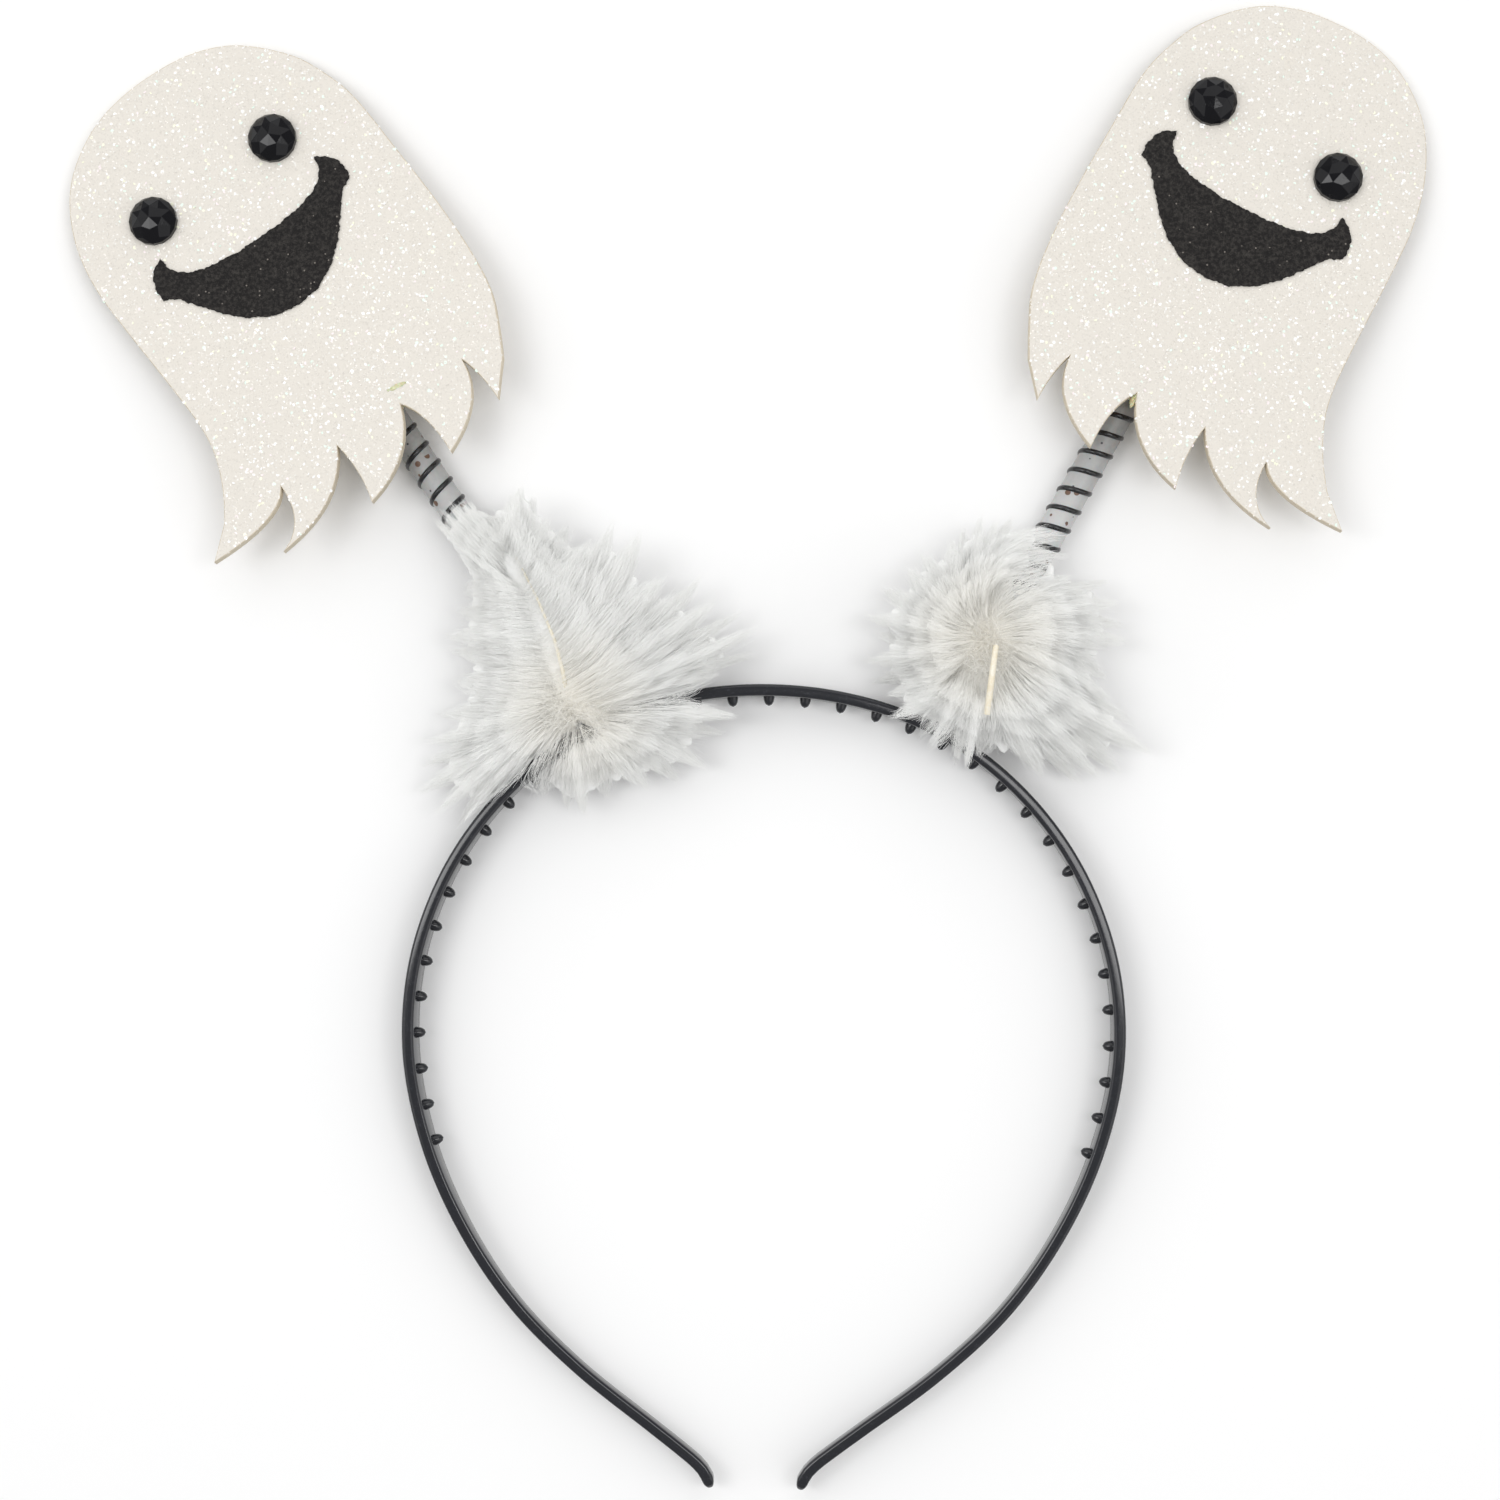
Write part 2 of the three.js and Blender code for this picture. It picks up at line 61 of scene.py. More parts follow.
# The photograph's camera
PHOTO_PIXELS = 1500
SENSOR_WIDTH = 36.0
CAMERA_PLACE = Vector((13.22, -18.33, 560)) * MM
CAMERA_TARGET = Vector((-3.28, -10.83, 4.5)) * MM
CAMERA_ROLL = math.radians(1.013)

# Gaps between flat faces that lie on each other, and between solids that fit together
HAIR_GAP = 0.02 * MM
SEAT_GAP = 0.3 * MM

# Half of the band's centre line from the crown to a tip, as shares of half the ring's width and of its
# depth, and its width there as a share of its width at the crown
RING_WIDTH = 130 * MM
RING_DEPTH = 143.4 * MM
BandRow = namedtuple("BandRow", "across down width")
BAND_ROWS = [
    BandRow(0, 0, 1),
    BandRow(0.217, 0.009, 1),
    BandRow(0.427, 0.037, 1),
    BandRow(0.617, 0.086, 1),
    BandRow(0.785, 0.158, 1),
    BandRow(0.909, 0.245, 1),
    BandRow(0.987, 0.351, 1),
    BandRow(1, 0.463, 1),
    BandRow(0.945, 0.578, 0.84),
    BandRow(0.841, 0.682, 0.66),
    BandRow(0.695, 0.777, 0.51),
    BandRow(0.511, 0.857, 0.44),
    BandRow(0.296, 0.93, 0.42),
    BandRow(0.213, 0.958, 0.42),
    BandRow(0.166, 0.975, 0.42),
    BandRow(0.141, 0.988, 0.41),
    BandRow(0.13, 1, 0.4),
]
TIP_ROUNDING = 2.2 * MM
FOOT_DISTANCE = 31.8 * MM
POST_RADIUS = 1.3 * MM
POST_HEIGHT = 7 * MM
PEGS_PER_SIDE = 18

# Springs, and what the two sides have of their own: lean and turn in degrees, lengths in millimetres
SPRING_BEHIND_GHOST = 13 * MM
SPRING_DROP = 1 * MM
COIL_OUTER = 3.1 * MM
GHOST_OVER_SPRING = 0.9 * MM
Side = namedtuple("Side", "name hand lean turn reach notch_aside pitch wire_turn head_shift head_out "
                          "face_across face_up face_turn smile_across smile_turn")
SIDES = [
    Side("left", -1, 35, 35.6, 67.6, 3, 3.95, 180, -1.4, 3.1, -5.3, 54.8, 0, 0.5, -1.2),
    Side("right", 1, 28.6, 27.5, 69.8, -0.85, 3.87, 207, 1.4, -0.85, -0.25, 53.4, 3.3, -1.6, -3.8),
]

# The ghost's outline as shares of its width and height, from the inner side round the head to the long
# tail, and its tails as a tip and the bends on both sides of it
GHOST_WIDTH = 58 * MM
GHOST_HEIGHT = 78.4 * MM
GHOST_BODY = [
    (0.345, -0.046), (0.395, 0.028), (0.435, 0.102), (0.455, 0.204), (0.46, 0.344), (0.452, 0.51),
    (0.441, 0.663), (0.412, 0.752), (0.353, 0.845), (0.232, 0.94), (0.1, 0.986), (-0.035, 1),
    (-0.155, 0.996), (-0.262, 0.973), (-0.355, 0.931), (-0.427, 0.878), (-0.48, 0.812), (-0.517, 0.737),
    (-0.538, 0.649), (-0.542, 0.548), (-0.537, 0.319), (-0.54, 0.22), (-0.56, 0.146), (-0.605, 0.071),
    (-0.66, 0.008),
]
Tail = namedtuple("Tail", "tip belly notch back")
GHOST_TAILS = [
    Tail((-0.757, -0.057), (-0.5, -0.066), (-0.452, 0.001), (-0.448, -0.102)),
    Tail((-0.559, -0.129), (-0.319, -0.119), (-0.236, 0.004), (-0.217, -0.077)),
    Tail((-0.245, -0.152), (-0.055, -0.121), (0, 0), (0.055, -0.057)),
    Tail((0.045, -0.161), (0.231, -0.105), (0.236, 0.004), (0.262, -0.051)),
]
GHOST_INNER_TIP = (0.259, -0.121)

# Half of the smile from the middle of its upper edge round a corner to its lowest point, as shares of
# half its width and of its depth
SMILE_WIDTH = 41.2 * MM
SMILE_DEPTH = 21.8 * MM
SMILE_BELOW_EYES = 6.9 * MM
EYE_SPACING = 26.5 * MM
SMILE_HALF = [
    (0, 0.328), (0.243, 0.321), (0.466, 0.298), (0.641, 0.252), (0.748, 0.183), (0.806, 0.096),
    (0.816, 0), (0.908, 0.05), (0.971, 0.124), (1, 0.225), (0.99, 0.321), (0.893, 0.362),
    (0.757, 0.523), (0.612, 0.702), (0.427, 0.867), (0.223, 0.968), (0, 1),
]

# Feather tufts, by the pixels of the photograph that their tip and root lie at, with the heights of both
# in millimetres, and how far the tuft's middle bows to its left, as a share of its length
Tuft = namedtuple("Tuft", "tip_px tip_py root_px root_py tip_z root_z bow")
PUFF_MIDDLES = {"left": (577, 705), "right": (986, 640)}
TUFTS = {
    "left": [
        Tuft(479, 518, 512, 556, 9, 15, 0.05),
        Tuft(467, 501, 514, 556, 8, 13, 0),
        Tuft(459, 500, 514, 566, 9, 14, 0),
        Tuft(449, 502, 514, 574, 9, 14, 0),
        Tuft(441, 510, 513, 582, 9, 14, 0),
        Tuft(434, 520, 512, 592, 7, 14, 0),
        Tuft(455, 548, 520, 584, 7, 15, 0.02),
        Tuft(463, 593, 528, 592, 8, 17, 0),
        Tuft(456, 612, 538, 612, 5, 17, 0),
        Tuft(446, 637, 548, 635, 9, 17, 0),
        Tuft(449, 651, 555, 655, 4, 17, 0),
        Tuft(453, 682, 562, 682, 8, 16, 0.05),
        Tuft(437, 714, 560, 696, 5, 15, 0.06),
        Tuft(426, 741, 556, 702, 8, 14, 0.05),
        Tuft(421, 765, 556, 706, 3, 14, 0.03),
        Tuft(416, 793, 558, 708, 6, 13, 0.02),
        Tuft(436, 815, 562, 712, 9, 12, -0.02),
        Tuft(458, 827, 566, 716, 5, 12, -0.04),
        Tuft(521, 484, 507, 545, 12, 17, -0.05),
        Tuft(534, 497, 513, 556, 9, 18, -0.05),
        Tuft(550, 519, 519, 568, 12, 18, -0.05),
        Tuft(567, 525, 527, 585, 8, 18, -0.06),
        Tuft(590, 540, 536, 605, 13, 18, -0.05),
        Tuft(613, 523, 545, 625, 9, 19, -0.06),
        Tuft(641, 530, 553, 645, 12, 19, -0.08),
        Tuft(665, 575, 560, 665, 14, 19, -0.06),
        Tuft(703, 575, 568, 685, 8, 19, -0.06),
        Tuft(718, 598, 574, 692, 12, 18, -0.04),
        Tuft(741, 611, 580, 698, 6, 18, -0.04),
        Tuft(761, 625, 585, 702, 10, 17, -0.03),
        Tuft(758, 653, 590, 706, 5, 16, 0),
        Tuft(722, 672, 592, 710, 11, 15, 0),
        Tuft(739, 717, 594, 716, 12, 13, 0.03),
        Tuft(725, 735, 594, 720, 4, 13, 0.03),
        Tuft(708, 769, 592, 724, 7, 13, 0.05),
        Tuft(679, 781, 588, 726, 3, 13, 0.05),
        Tuft(649, 789, 584, 728, 7, 13, 0.05),
        Tuft(606, 798, 580, 728, 3, 13, 0.03),
        Tuft(583, 817, 577, 727, 6, 13, 0),
        Tuft(566, 812, 573, 726, 3, 13, 0),
        Tuft(545, 796, 569, 724, 5, 13, -0.03),
    ],
    "right": [
        Tuft(981, 515, 980, 612, 11, 18, 0.06),
        Tuft(964, 528, 976, 615, 7, 18, 0.08),
        Tuft(953, 540, 972, 618, 12, 18, 0.08),
        Tuft(921, 552, 968, 620, 7, 18, 0.05),
        Tuft(908, 568, 966, 622, 12, 18, 0.05),
        Tuft(884, 589, 964, 628, 6, 18, 0.05),
        Tuft(866, 616, 964, 634, 10, 18, 0.05),
        Tuft(877, 634, 964, 638, 5, 18, 0.04),
        Tuft(865, 661, 966, 644, 9, 18, 0.04),
        Tuft(872, 682, 968, 650, 4, 17, 0.05),
        Tuft(887, 694, 970, 655, 10, 16, 0.08),
        Tuft(888, 718, 950, 675, 12, 13, 0.1),
        Tuft(917, 740, 960, 672, 6, 15, 0.08),
        Tuft(926, 751, 966, 676, 10, 15, 0.05),
        Tuft(954, 767, 972, 682, 5, 15, 0.03),
        Tuft(966, 772, 978, 688, 9, 15, 0),
        Tuft(978, 758, 984, 690, 5, 15, 0),
        Tuft(1042, 775, 998, 684, 9, 15, -0.04),
        Tuft(1081, 784, 1003, 678, 4, 15, -0.05),
        Tuft(1101, 779, 1006, 670, 8, 15, -0.05),
        Tuft(1123, 773, 1008, 664, 4, 15, -0.05),
        Tuft(1154, 754, 1010, 658, 8, 16, -0.04),
        Tuft(1130, 720, 1010, 652, 4, 16, 0),
        Tuft(1112, 700, 1010, 646, 11, 17, 0.03),
        Tuft(1108, 678, 1008, 642, 5, 17, 0.03),
        Tuft(1129, 643, 1006, 636, 9, 18, 0.05),
        Tuft(1125, 626, 1004, 630, 5, 18, 0.05),
        Tuft(1121, 603, 1002, 624, 10, 18, 0.05),
        Tuft(1110, 582, 1000, 618, 6, 18, 0.06),
        Tuft(1071, 577, 998, 612, 12, 18, 0.06),
        Tuft(1072, 556, 994, 606, 10, 18, 0.2),
        Tuft(1068, 534, 990, 604, 9, 18, 0.26),
        Tuft(1048, 526, 986, 606, 12, 18, 0.22),
        Tuft(1013, 517, 984, 608, 9, 18, 0.12),
        Tuft(997, 520, 982, 610, 12, 18, 0.06),
    ],
}

# Bare quills: the side, the photograph's pixels along them, heights and widths in millimetres
Quill = namedtuple("Quill", "side points heights start_width end_width")
QUILLS = {
    "plume": Quill("left", [(501, 532), (517, 558), (539, 602), (555, 641), (563, 672), (566, 690)],
                   [14.5, 17.3, 19, 19.8, 19.8, 17], 0.25, 0.8),
    "stub": Quill("right", [(996, 646), (994, 660), (991, 684), (987, 714)],
                  [20, 21.2, 21.2, 19.6], 1.05, 1.2),
}

# Stretches of the band, by distance from the crown in millimetres, that only a few barbs cross, with the
# share of them that is kept, and the share that is kept over each spring from a distance from its foot on
Bare = namedtuple("Bare", "start end kept")
BARE = {
    "left": [Bare(-62, -33, 0.16), Bare(-27, -6, 0.3)],
    "right": [Bare(16, 30, 0.5), Bare(30, 56, 0.33)],
}
OverSpring = namedtuple("OverSpring", "start kept")
OVER_SPRING = {"left": OverSpring(50, 1), "right": OverSpring(24, 0.3)}

# Layers of barbs in a puff: the piece that they belong to, their share of the tufts' reach, how much higher
# their ends lie in millimetres, how deep the notches between tufts are, how much barbs gather to the tips,
# and their share of the piece's barbs
Layer = namedtuple("Layer", "piece reach lift notch gather share")
LAYERS = [
    Layer("plumes", 1.0, 0, 0.2, 0.95, 0.62),
    Layer("plumes", 0.93, 2.2, 0.12, 0.7, 0.38),
    Layer("down", 0.8, 4.5, 0.05, 0.3, 0.42),
    Layer("down", 0.6, 7.5, 0.03, 0.2, 0.33),
    Layer("down", 0.4, 9, 0.03, 0.1, 0.25),
]


# Settings

def length_setting(name, description, default):
    """A setting for a length, its default in millimetres."""
    return FloatProperty(name=name, description=description, default=default * MM, unit="LENGTH", precision=5)


def colour_setting(name, description, default):
    """A setting for a colour, its default in red, green and blue."""
    return FloatVectorProperty(name=name, description=description, default=(*default, 1), size=4,
                               subtype="COLOR", min=0, max=1)


class BopperBand(bpy.types.PropertyGroup):
    thickness: length_setting("Band thickness", "Across the band's wall", 2.15)
    width: length_setting("Band width", "Height of the band at its crown", 8.8)
    edge_radius: length_setting("Edge radius", "Rounding of the band's four edges", 0.55)
    peg_pitch: length_setting("Peg pitch", "Distance between the comb's pegs", 6.72)
    peg_diameter: length_setting("Peg diameter", "Across a peg at its root", 2.1)
    peg_length: length_setting("Peg length", "How far a peg stands from the band", 1.7)
    colour: colour_setting("Plastic", "Colour of the moulded plastic", (0.016, 0.017, 0.021))


class BopperSpring(bpy.types.PropertyGroup):
    wire_diameter: length_setting("Wire diameter", "Across the lacquered wire", 1.04)
    sleeve_diameter: length_setting("Sleeve diameter", "Across the sleeve between the turns", 5.46)
    sleeve_wall: length_setting("Sleeve wall", "Thickness of the sleeve", 0.4)
    turn_steps: IntProperty(name="Steps for each turn", description="Sections along one turn of wire",
                            default=24, min=6)
    wire_colour: colour_setting("Wire", "Colour of the lacquered wire", (0.008, 0.008, 0.009))
    sleeve_colour: colour_setting("Sleeve", "Colour of the sleeve", (0.31, 0.312, 0.31))


class BopperGhost(bpy.types.PropertyGroup):
    thickness: length_setting("Foam thickness", "Thickness of the foam sheet", 2)
    edge_radius: length_setting("Cut edge radius", "Rounding of the die-cut edge", 0.18)
    flake_diameter: length_setting("Glitter flake", "Across a glitter flake", 0.37)
    flake_density: FloatProperty(name="Glitter density", description="Flakes for each square metre",
                                 default=4.5e6)
    foam_colour: colour_setting("Foam", "Colour of the glitter foam's front", (0.76, 0.722, 0.66))
    cut_colour: colour_setting("Cut edge", "Colour of the foam where it is cut", (0.64, 0.57, 0.45))


class BopperFace(bpy.types.PropertyGroup):
    smile_thickness: length_setting("Smile thickness", "Thickness of the flocked smile", 0.45)
    smile_rag: length_setting("Ragged edge", "How far the smile's cut edge wanders", 0.24)
    gem_diameter: length_setting("Gem diameter", "Across a gem's girdle", 8.9)
    gem_height: length_setting("Gem height", "From the foam to a gem's top", 3.5)
    flock_colour: colour_setting("Flock", "Colour of the smile", (0.012, 0.011, 0.011))
    gem_colour: colour_setting("Gem", "Colour of the gems", (0.003, 0.003, 0.004))


class BopperPuff(bpy.types.PropertyGroup):
    barbs: IntProperty(name="Barbs", description="Barbs in each of a puff's two pieces", default=19000, min=1)
    curls: IntProperty(name="Curls", description="Short curls over a puff's middle", default=1300, min=0)
    barb_width: length_setting("Barb width", "Across a barb at its thickest", 0.056)
    white: colour_setting("Down", "Colour of the feathers", (0.955, 0.957, 0.945))
    cream: colour_setting("Root", "Colour near the glued quills", (0.995, 0.965, 0.895))
    see_through: FloatProperty(name="See-through", description="Share of the light that passes a barb",
                               default=0.3, min=0, max=1, subtype="FACTOR")


class BopperStage(bpy.types.PropertyGroup):
    lens: FloatProperty(name="Lens", description="Focal length in millimetres", default=73.53)
    floor_colour: colour_setting("Floor", "Colour of the floor", (0.94, 0.94, 0.94))
    world_light: FloatProperty(name="Fill", description="Strength of the light from all round", default=0.36)
    soft_power: FloatProperty(name="Soft lamps", description="Power of each large, soft lamp", default=3.7,
                              unit="POWER")
    glint_power: FloatProperty(name="Glint lamps", description="Power of each lamp that lights the gems",
                               default=1.7, unit="POWER")


# Node trees

class Tree:
    """A node tree that is built with short calls."""

    def __init__(self, tree):
        self.tree = tree
        tree.nodes.clear()

    def add(self, kind, inputs=None, **settings):
        """A new node. An input is fed by a socket or set to a value, under its name or its number."""
        node = self.tree.nodes.new(kind)
        for key, value in settings.items():
            setattr(node, key, value)
        for key, value in (inputs or {}).items():
            if isinstance(value, bpy.types.NodeSocket):
                self.tree.links.new(value, node.inputs[key])
            else:
                node.inputs[key].default_value = value
        return node

    def maths(self, operation, first, second=0.0, third=0.0):
        return self.add("ShaderNodeMath", {0: first, 1: second, 2: third}, operation=operation).outputs[0]

    def mix(self, factor, first, second):
        node = self.add("ShaderNodeMix", {"Factor": factor, 6: first, 7: second}, data_type="RGBA")
        return node.outputs[2]

    def ramp(self, value, low, high):
        """0 below low and 1 above high."""
        node = self.add("ShaderNodeMapRange", {"Value": value, "From Min": low, "From Max": high})
        return node.outputs["Result"]


def shader_group(name, inputs, outputs):
    """An empty shader node group with named float sockets, and its tree."""
    group = bpy.data.node_groups.new(name, "ShaderNodeTree")
    for label, default in inputs.items():
        socket = group.interface.new_socket(label, in_out="INPUT", socket_type="NodeSocketFloat")
        socket.default_value = default
    for label in outputs:
        group.interface.new_socket(label, in_out="OUTPUT", socket_type="NodeSocketFloat")
    tree = Tree(group)
    return group, tree, tree.add("NodeGroupInput").outputs, tree.add("NodeGroupOutput").inputs


def grain_group():
    """Fine grain: noise at one scale with a share of noise four times finer in it, from 0 to 1."""
    group, tree, given, result = shader_group("Fine grain", {"Scale": 2000.0, "Finer": 0.4}, ["Grain"])
    place = tree.add("ShaderNodeTexCoord").outputs["Object"]
    coarse = tree.add("ShaderNodeTexNoise", {"Vector": place, "Scale": given["Scale"], "Detail": 2.0})
    finer_scale = tree.maths("MULTIPLY", given["Scale"], 4.0)
    fine = tree.add("ShaderNodeTexNoise", {"Vector": place, "Scale": finer_scale, "Detail": 2.0})
    blend = tree.add("ShaderNodeMix", {"Factor": given["Finer"], 2: coarse.outputs["Fac"],
                                       3: fine.outputs["Fac"]}, data_type="FLOAT")
    tree.tree.links.new(blend.outputs[0], result["Grain"])
    return group


def speck_group():
    """Scattered specks: 1 inside small spots, of which only a share is kept."""
    group, tree, given, result = shader_group(
        "Specks", {"Scale": 300.0, "Size": 0.2, "Share": 0.05}, ["Specks"])
    place = tree.add("ShaderNodeTexCoord").outputs["Object"]
    cells = tree.add("ShaderNodeTexVoronoi", {"Vector": place, "Scale": given["Scale"]})
    inside = tree.maths("LESS_THAN", cells.outputs["Distance"], given["Size"])
    draw = tree.add("ShaderNodeSeparateColor", {"Color": cells.outputs["Color"]}).outputs["Red"]
    kept = tree.maths("LESS_THAN", draw, given["Share"])
    tree.tree.links.new(tree.maths("MULTIPLY", inside, kept), result["Specks"])
    return group


class Finish:
    """A material with one Principled shader, and the groups and bumps that its look is made with."""

    def __init__(self, name, **plain):
        self.material = bpy.data.materials.new(name)
        self.material.use_nodes = True
        self.nodes = Tree(self.material.node_tree)
        self.shader = self.nodes.add("ShaderNodeBsdfPrincipled")
        self.output = self.nodes.add("ShaderNodeOutputMaterial")
        self.nodes.tree.links.new(self.shader.outputs[0], self.output.inputs["Surface"])
        for key, value in plain.items():
            self.shader.inputs[key.replace("_", " ").title().replace("Ior", "IOR")].default_value = value

    def feed(self, key, socket):
        self.nodes.tree.links.new(socket, self.shader.inputs[key])

    def tint(self, mask, first, second):
        """Base colour from the first to the second, as a mask goes from 0 to 1."""
        self.feed("Base Color", self.nodes.mix(mask, first, second))

    def rough(self, mask, span, least):
        """Roughness from the least, with the span added where a mask is 1."""
        self.feed("Roughness", self.nodes.maths("MULTIPLY_ADD", mask, span, least))

    def bump(self, height, distance, strength=1.0):
        settings = {"Height": height, "Distance": distance, "Strength": strength}
        self.feed("Normal", self.nodes.add("ShaderNodeBump", settings).outputs["Normal"])

    def shared(self, builder, name, output, **values):
        """An output of a group that is built once, its inputs set here."""
        node = self.nodes.add("ShaderNodeGroup", node_tree=bpy.data.node_groups.get(name) or builder())
        for key, value in values.items():
            node.inputs[key.title()].default_value = value
        return node.outputs[output]

    def grain(self, scale, finer=0.4):
        return self.shared(grain_group, "Fine grain", "Grain", scale=scale, finer=finer)

    def specks(self, scale, size, share):
        return self.shared(speck_group, "Specks", "Specks", scale=scale, size=size, share=share)

    def attribute(self, name):
        return self.nodes.add("ShaderNodeAttribute", attribute_name=name).outputs["Fac"]


def brighter(colour, factor):
    """A colour with each channel times a factor."""
    return tuple(min(1, channel * factor) for channel in colour[:3]) + (1,)


def plastic_finish(settings):
    """Semi-gloss moulded plastic with faint flow marks and handling scuffs."""
    finish = Finish("moulded black plastic", ior=1.5)
    nodes = finish.nodes
    scuffs = nodes.ramp(finish.grain(900, 0.6), 0.56, 0.7)
    flow = nodes.maths("MULTIPLY_ADD", finish.grain(120, 0.3), 0.1, 0.06)
    finish.rough(scuffs, 0.12, flow)
    colour = tuple(settings.colour)
    finish.tint(scuffs, colour, brighter(colour, 1.8))
    finish.bump(finish.grain(2600, 0.5), 0.004 * MM, 0.4)
    return finish.material


def wire_finish(settings):
    """Black lacquer on steel wire, with small chips in its gloss."""
    finish = Finish("black lacquered wire", coat_weight=0.15, coat_roughness=0.1)
    grain = finish.grain(1500, 0.5)
    finish.rough(grain, 0.2, 0.12)
    colour = tuple(settings.wire_colour)
    finish.tint(grain, colour, brighter(colour, 1.6))
    finish.bump(grain, 0.02 * MM, 0.4)
    return finish.material


def sleeve_finish(settings):
    """Pale, milky plastic sleeve, mottled, with dark and rust-brown specks from the wire, and painted light
    and shade: paler towards its foot and darker towards the ghost.
    """
    finish = Finish("milky sleeve", subsurface_weight=0.25, subsurface_scale=0.5 * MM)
    nodes = finish.nodes
    mottle = finish.grain(420, 0.4)
    colour = tuple(settings.sleeve_colour)
    mottled = nodes.mix(nodes.ramp(mottle, 0.3, 0.75), brighter(colour, 0.86), brighter(colour, 1.15))
    # Painted light and shade: the sleeve is painted paler towards its foot and left darker towards the ghost,
    # where the ghost shades it
    pale = nodes.mix(nodes.ramp(finish.attribute("foot"), 0.25, 0.6), mottled, brighter(colour, 2.1))
    rusty = nodes.mix(finish.specks(620, 0.34, 0.1), pale, (0.14, 0.075, 0.05, 1))
    finish.tint(finish.specks(1400, 0.3, 0.03), rusty, (0.05, 0.05, 0.06, 1))
    finish.rough(mottle, 0.25, 0.32)
    finish.bump(mottle, 0.03 * MM, 0.5)
    return finish.material


def foam_finish(name, colour, coarse):
    """Foam sheet: tiny lumps and hollows, and a few dark specks."""
    finish = Finish(name, specular_ior_level=0.3)
    nodes = finish.nodes
    grain = finish.grain(coarse, 0.6)
    colour = tuple(colour)
    shade = nodes.mix(nodes.ramp(grain, 0.3, 0.7), brighter(colour, 0.965), brighter(colour, 1.03))
    stains = nodes.ramp(finish.grain(60, 0.3), 0.66, 0.8)
    stained = nodes.mix(nodes.maths("MULTIPLY", stains, 0.3), shade, (0.74, 0.66, 0.54, 1))
    finish.tint(finish.specks(260, 0.07, 0.012), stained, (0.12, 0.09, 0.07, 1))
    finish.rough(grain, 0.3, 0.55)
    finish.bump(grain, 0.04 * MM, 0.6)
    return finish.material


# Painted glints of the glitter flakes: tints brighter than the foam that stand in for the glitter's sparkle,
# each from a share of all flakes on. Flakes above the large share are larger
GlintTint = namedtuple("GlintTint", "start colour")
FLAKE_GROUND = (0.77, 0.733, 0.672, 1)
LARGE_FLAKES = 0.935
PAINTED_GLINT_TINTS = [
    GlintTint(0.83, (0.9, 0.885, 0.84, 1)),
    GlintTint(LARGE_FLAKES, (1, 1, 0.99, 1)),
    GlintTint(0.97, (0.86, 1, 0.9, 1)),
    GlintTint(0.983, (1, 0.9, 0.91, 1)),
    GlintTint(0.991, (1, 1, 0.8, 1)),
    GlintTint(0.998, (0.84, 0.92, 1, 1)),
]


def flake_finish():
    """Glitter flakes, mostly like the foam, with some white, pale green, pink, yellow and blue ones that are
    painted glints, their sparkle painted into their colour.
    """
    finish = Finish("glitter flakes", metallic=0.03, specular_ior_level=0.7)
    nodes = finish.nodes
    # Painted glints: flakes past the ground colour get brighter white and pale tints that stand in for
    # sparkle
    ramp = nodes.add("ShaderNodeValToRGB", {"Fac": finish.attribute("tint")})
    stops = ramp.color_ramp
    stops.interpolation = "CONSTANT"
    stops.elements[0].color = FLAKE_GROUND
    for row in PAINTED_GLINT_TINTS:
        stops.elements.new(row.start).color = row.colour
    stops.elements.remove(stops.elements[-1])
    finish.feed("Base Color", ramp.outputs["Color"])
    finish.rough(finish.grain(3000, 0.3), 0.2, 0.12)
    return finish.material


def flock_finish(settings):
    """Black flocked card: coarse grain with worn brownish and grey crumbs."""
    finish = Finish("black flock", sheen_weight=0.05, specular_ior_level=0.2)
    nodes = finish.nodes
    grain = finish.grain(1500, 0.45)
    colour = tuple(settings.flock_colour)
    worn = nodes.mix(nodes.ramp(grain, 0.44, 0.68), colour, (0.052, 0.048, 0.044, 1))
    finish.tint(finish.specks(1600, 0.25, 0.06), worn, (0.2, 0.18, 0.16, 1))
    finish.rough(grain, 0.2, 0.78)
    finish.bump(grain, 0.16 * MM, 1.0)
    return finish.material


def gem_finish(settings):
    """Polished black gem, its facets faintly uneven."""
    finish = Finish("black gem", specular_ior_level=0.26)
    grain = finish.grain(500, 0.3)
    colour = tuple(settings.gem_colour)
    finish.tint(grain, colour, brighter(colour, 2))
    finish.rough(grain, 0.06, 0.03)
    finish.bump(grain, 0.02 * MM, 0.2)
    return finish.material


def glue_finish():
    """Dried hot glue, yellowish, glossy and cloudy."""
    finish = Finish("dried glue", subsurface_weight=0.4, subsurface_scale=1 * MM, ior=1.48)
    nodes = finish.nodes
    cloud = finish.grain(500, 0.4)
    finish.tint(nodes.ramp(cloud, 0.35, 0.7), (0.5, 0.45, 0.22, 1), (0.78, 0.74, 0.52, 1))
    finish.rough(cloud, 0.3, 0.18)
    finish.bump(cloud, 0.15 * MM, 0.5)
    return finish.material


def down_finish(name, settings, see_through):
    """Soft down, white at its ends and cream near the glued quills, each barb a little different."""
    finish = Finish(name, specular_ior_level=0.1, sheen_weight=0.2)
    nodes = finish.nodes
    hue = nodes.mix(finish.attribute("warmth"), tuple(settings.white), tuple(settings.cream))
    grain = finish.grain(600, 0.4)
    finish.tint(nodes.maths("MULTIPLY", grain, 0.05), hue, (0.78, 0.8, 0.84, 1))
    finish.rough(grain, 0.2, 0.8)
    passing = nodes.add("ShaderNodeBsdfTranslucent", {"Color": hue})
    both = nodes.add("ShaderNodeMixShader", {0: see_through, 1: finish.shader.outputs[0],
                                             2: passing.outputs[0]})
    nodes.tree.links.new(both.outputs[0], finish.output.inputs["Surface"])
    return finish.material


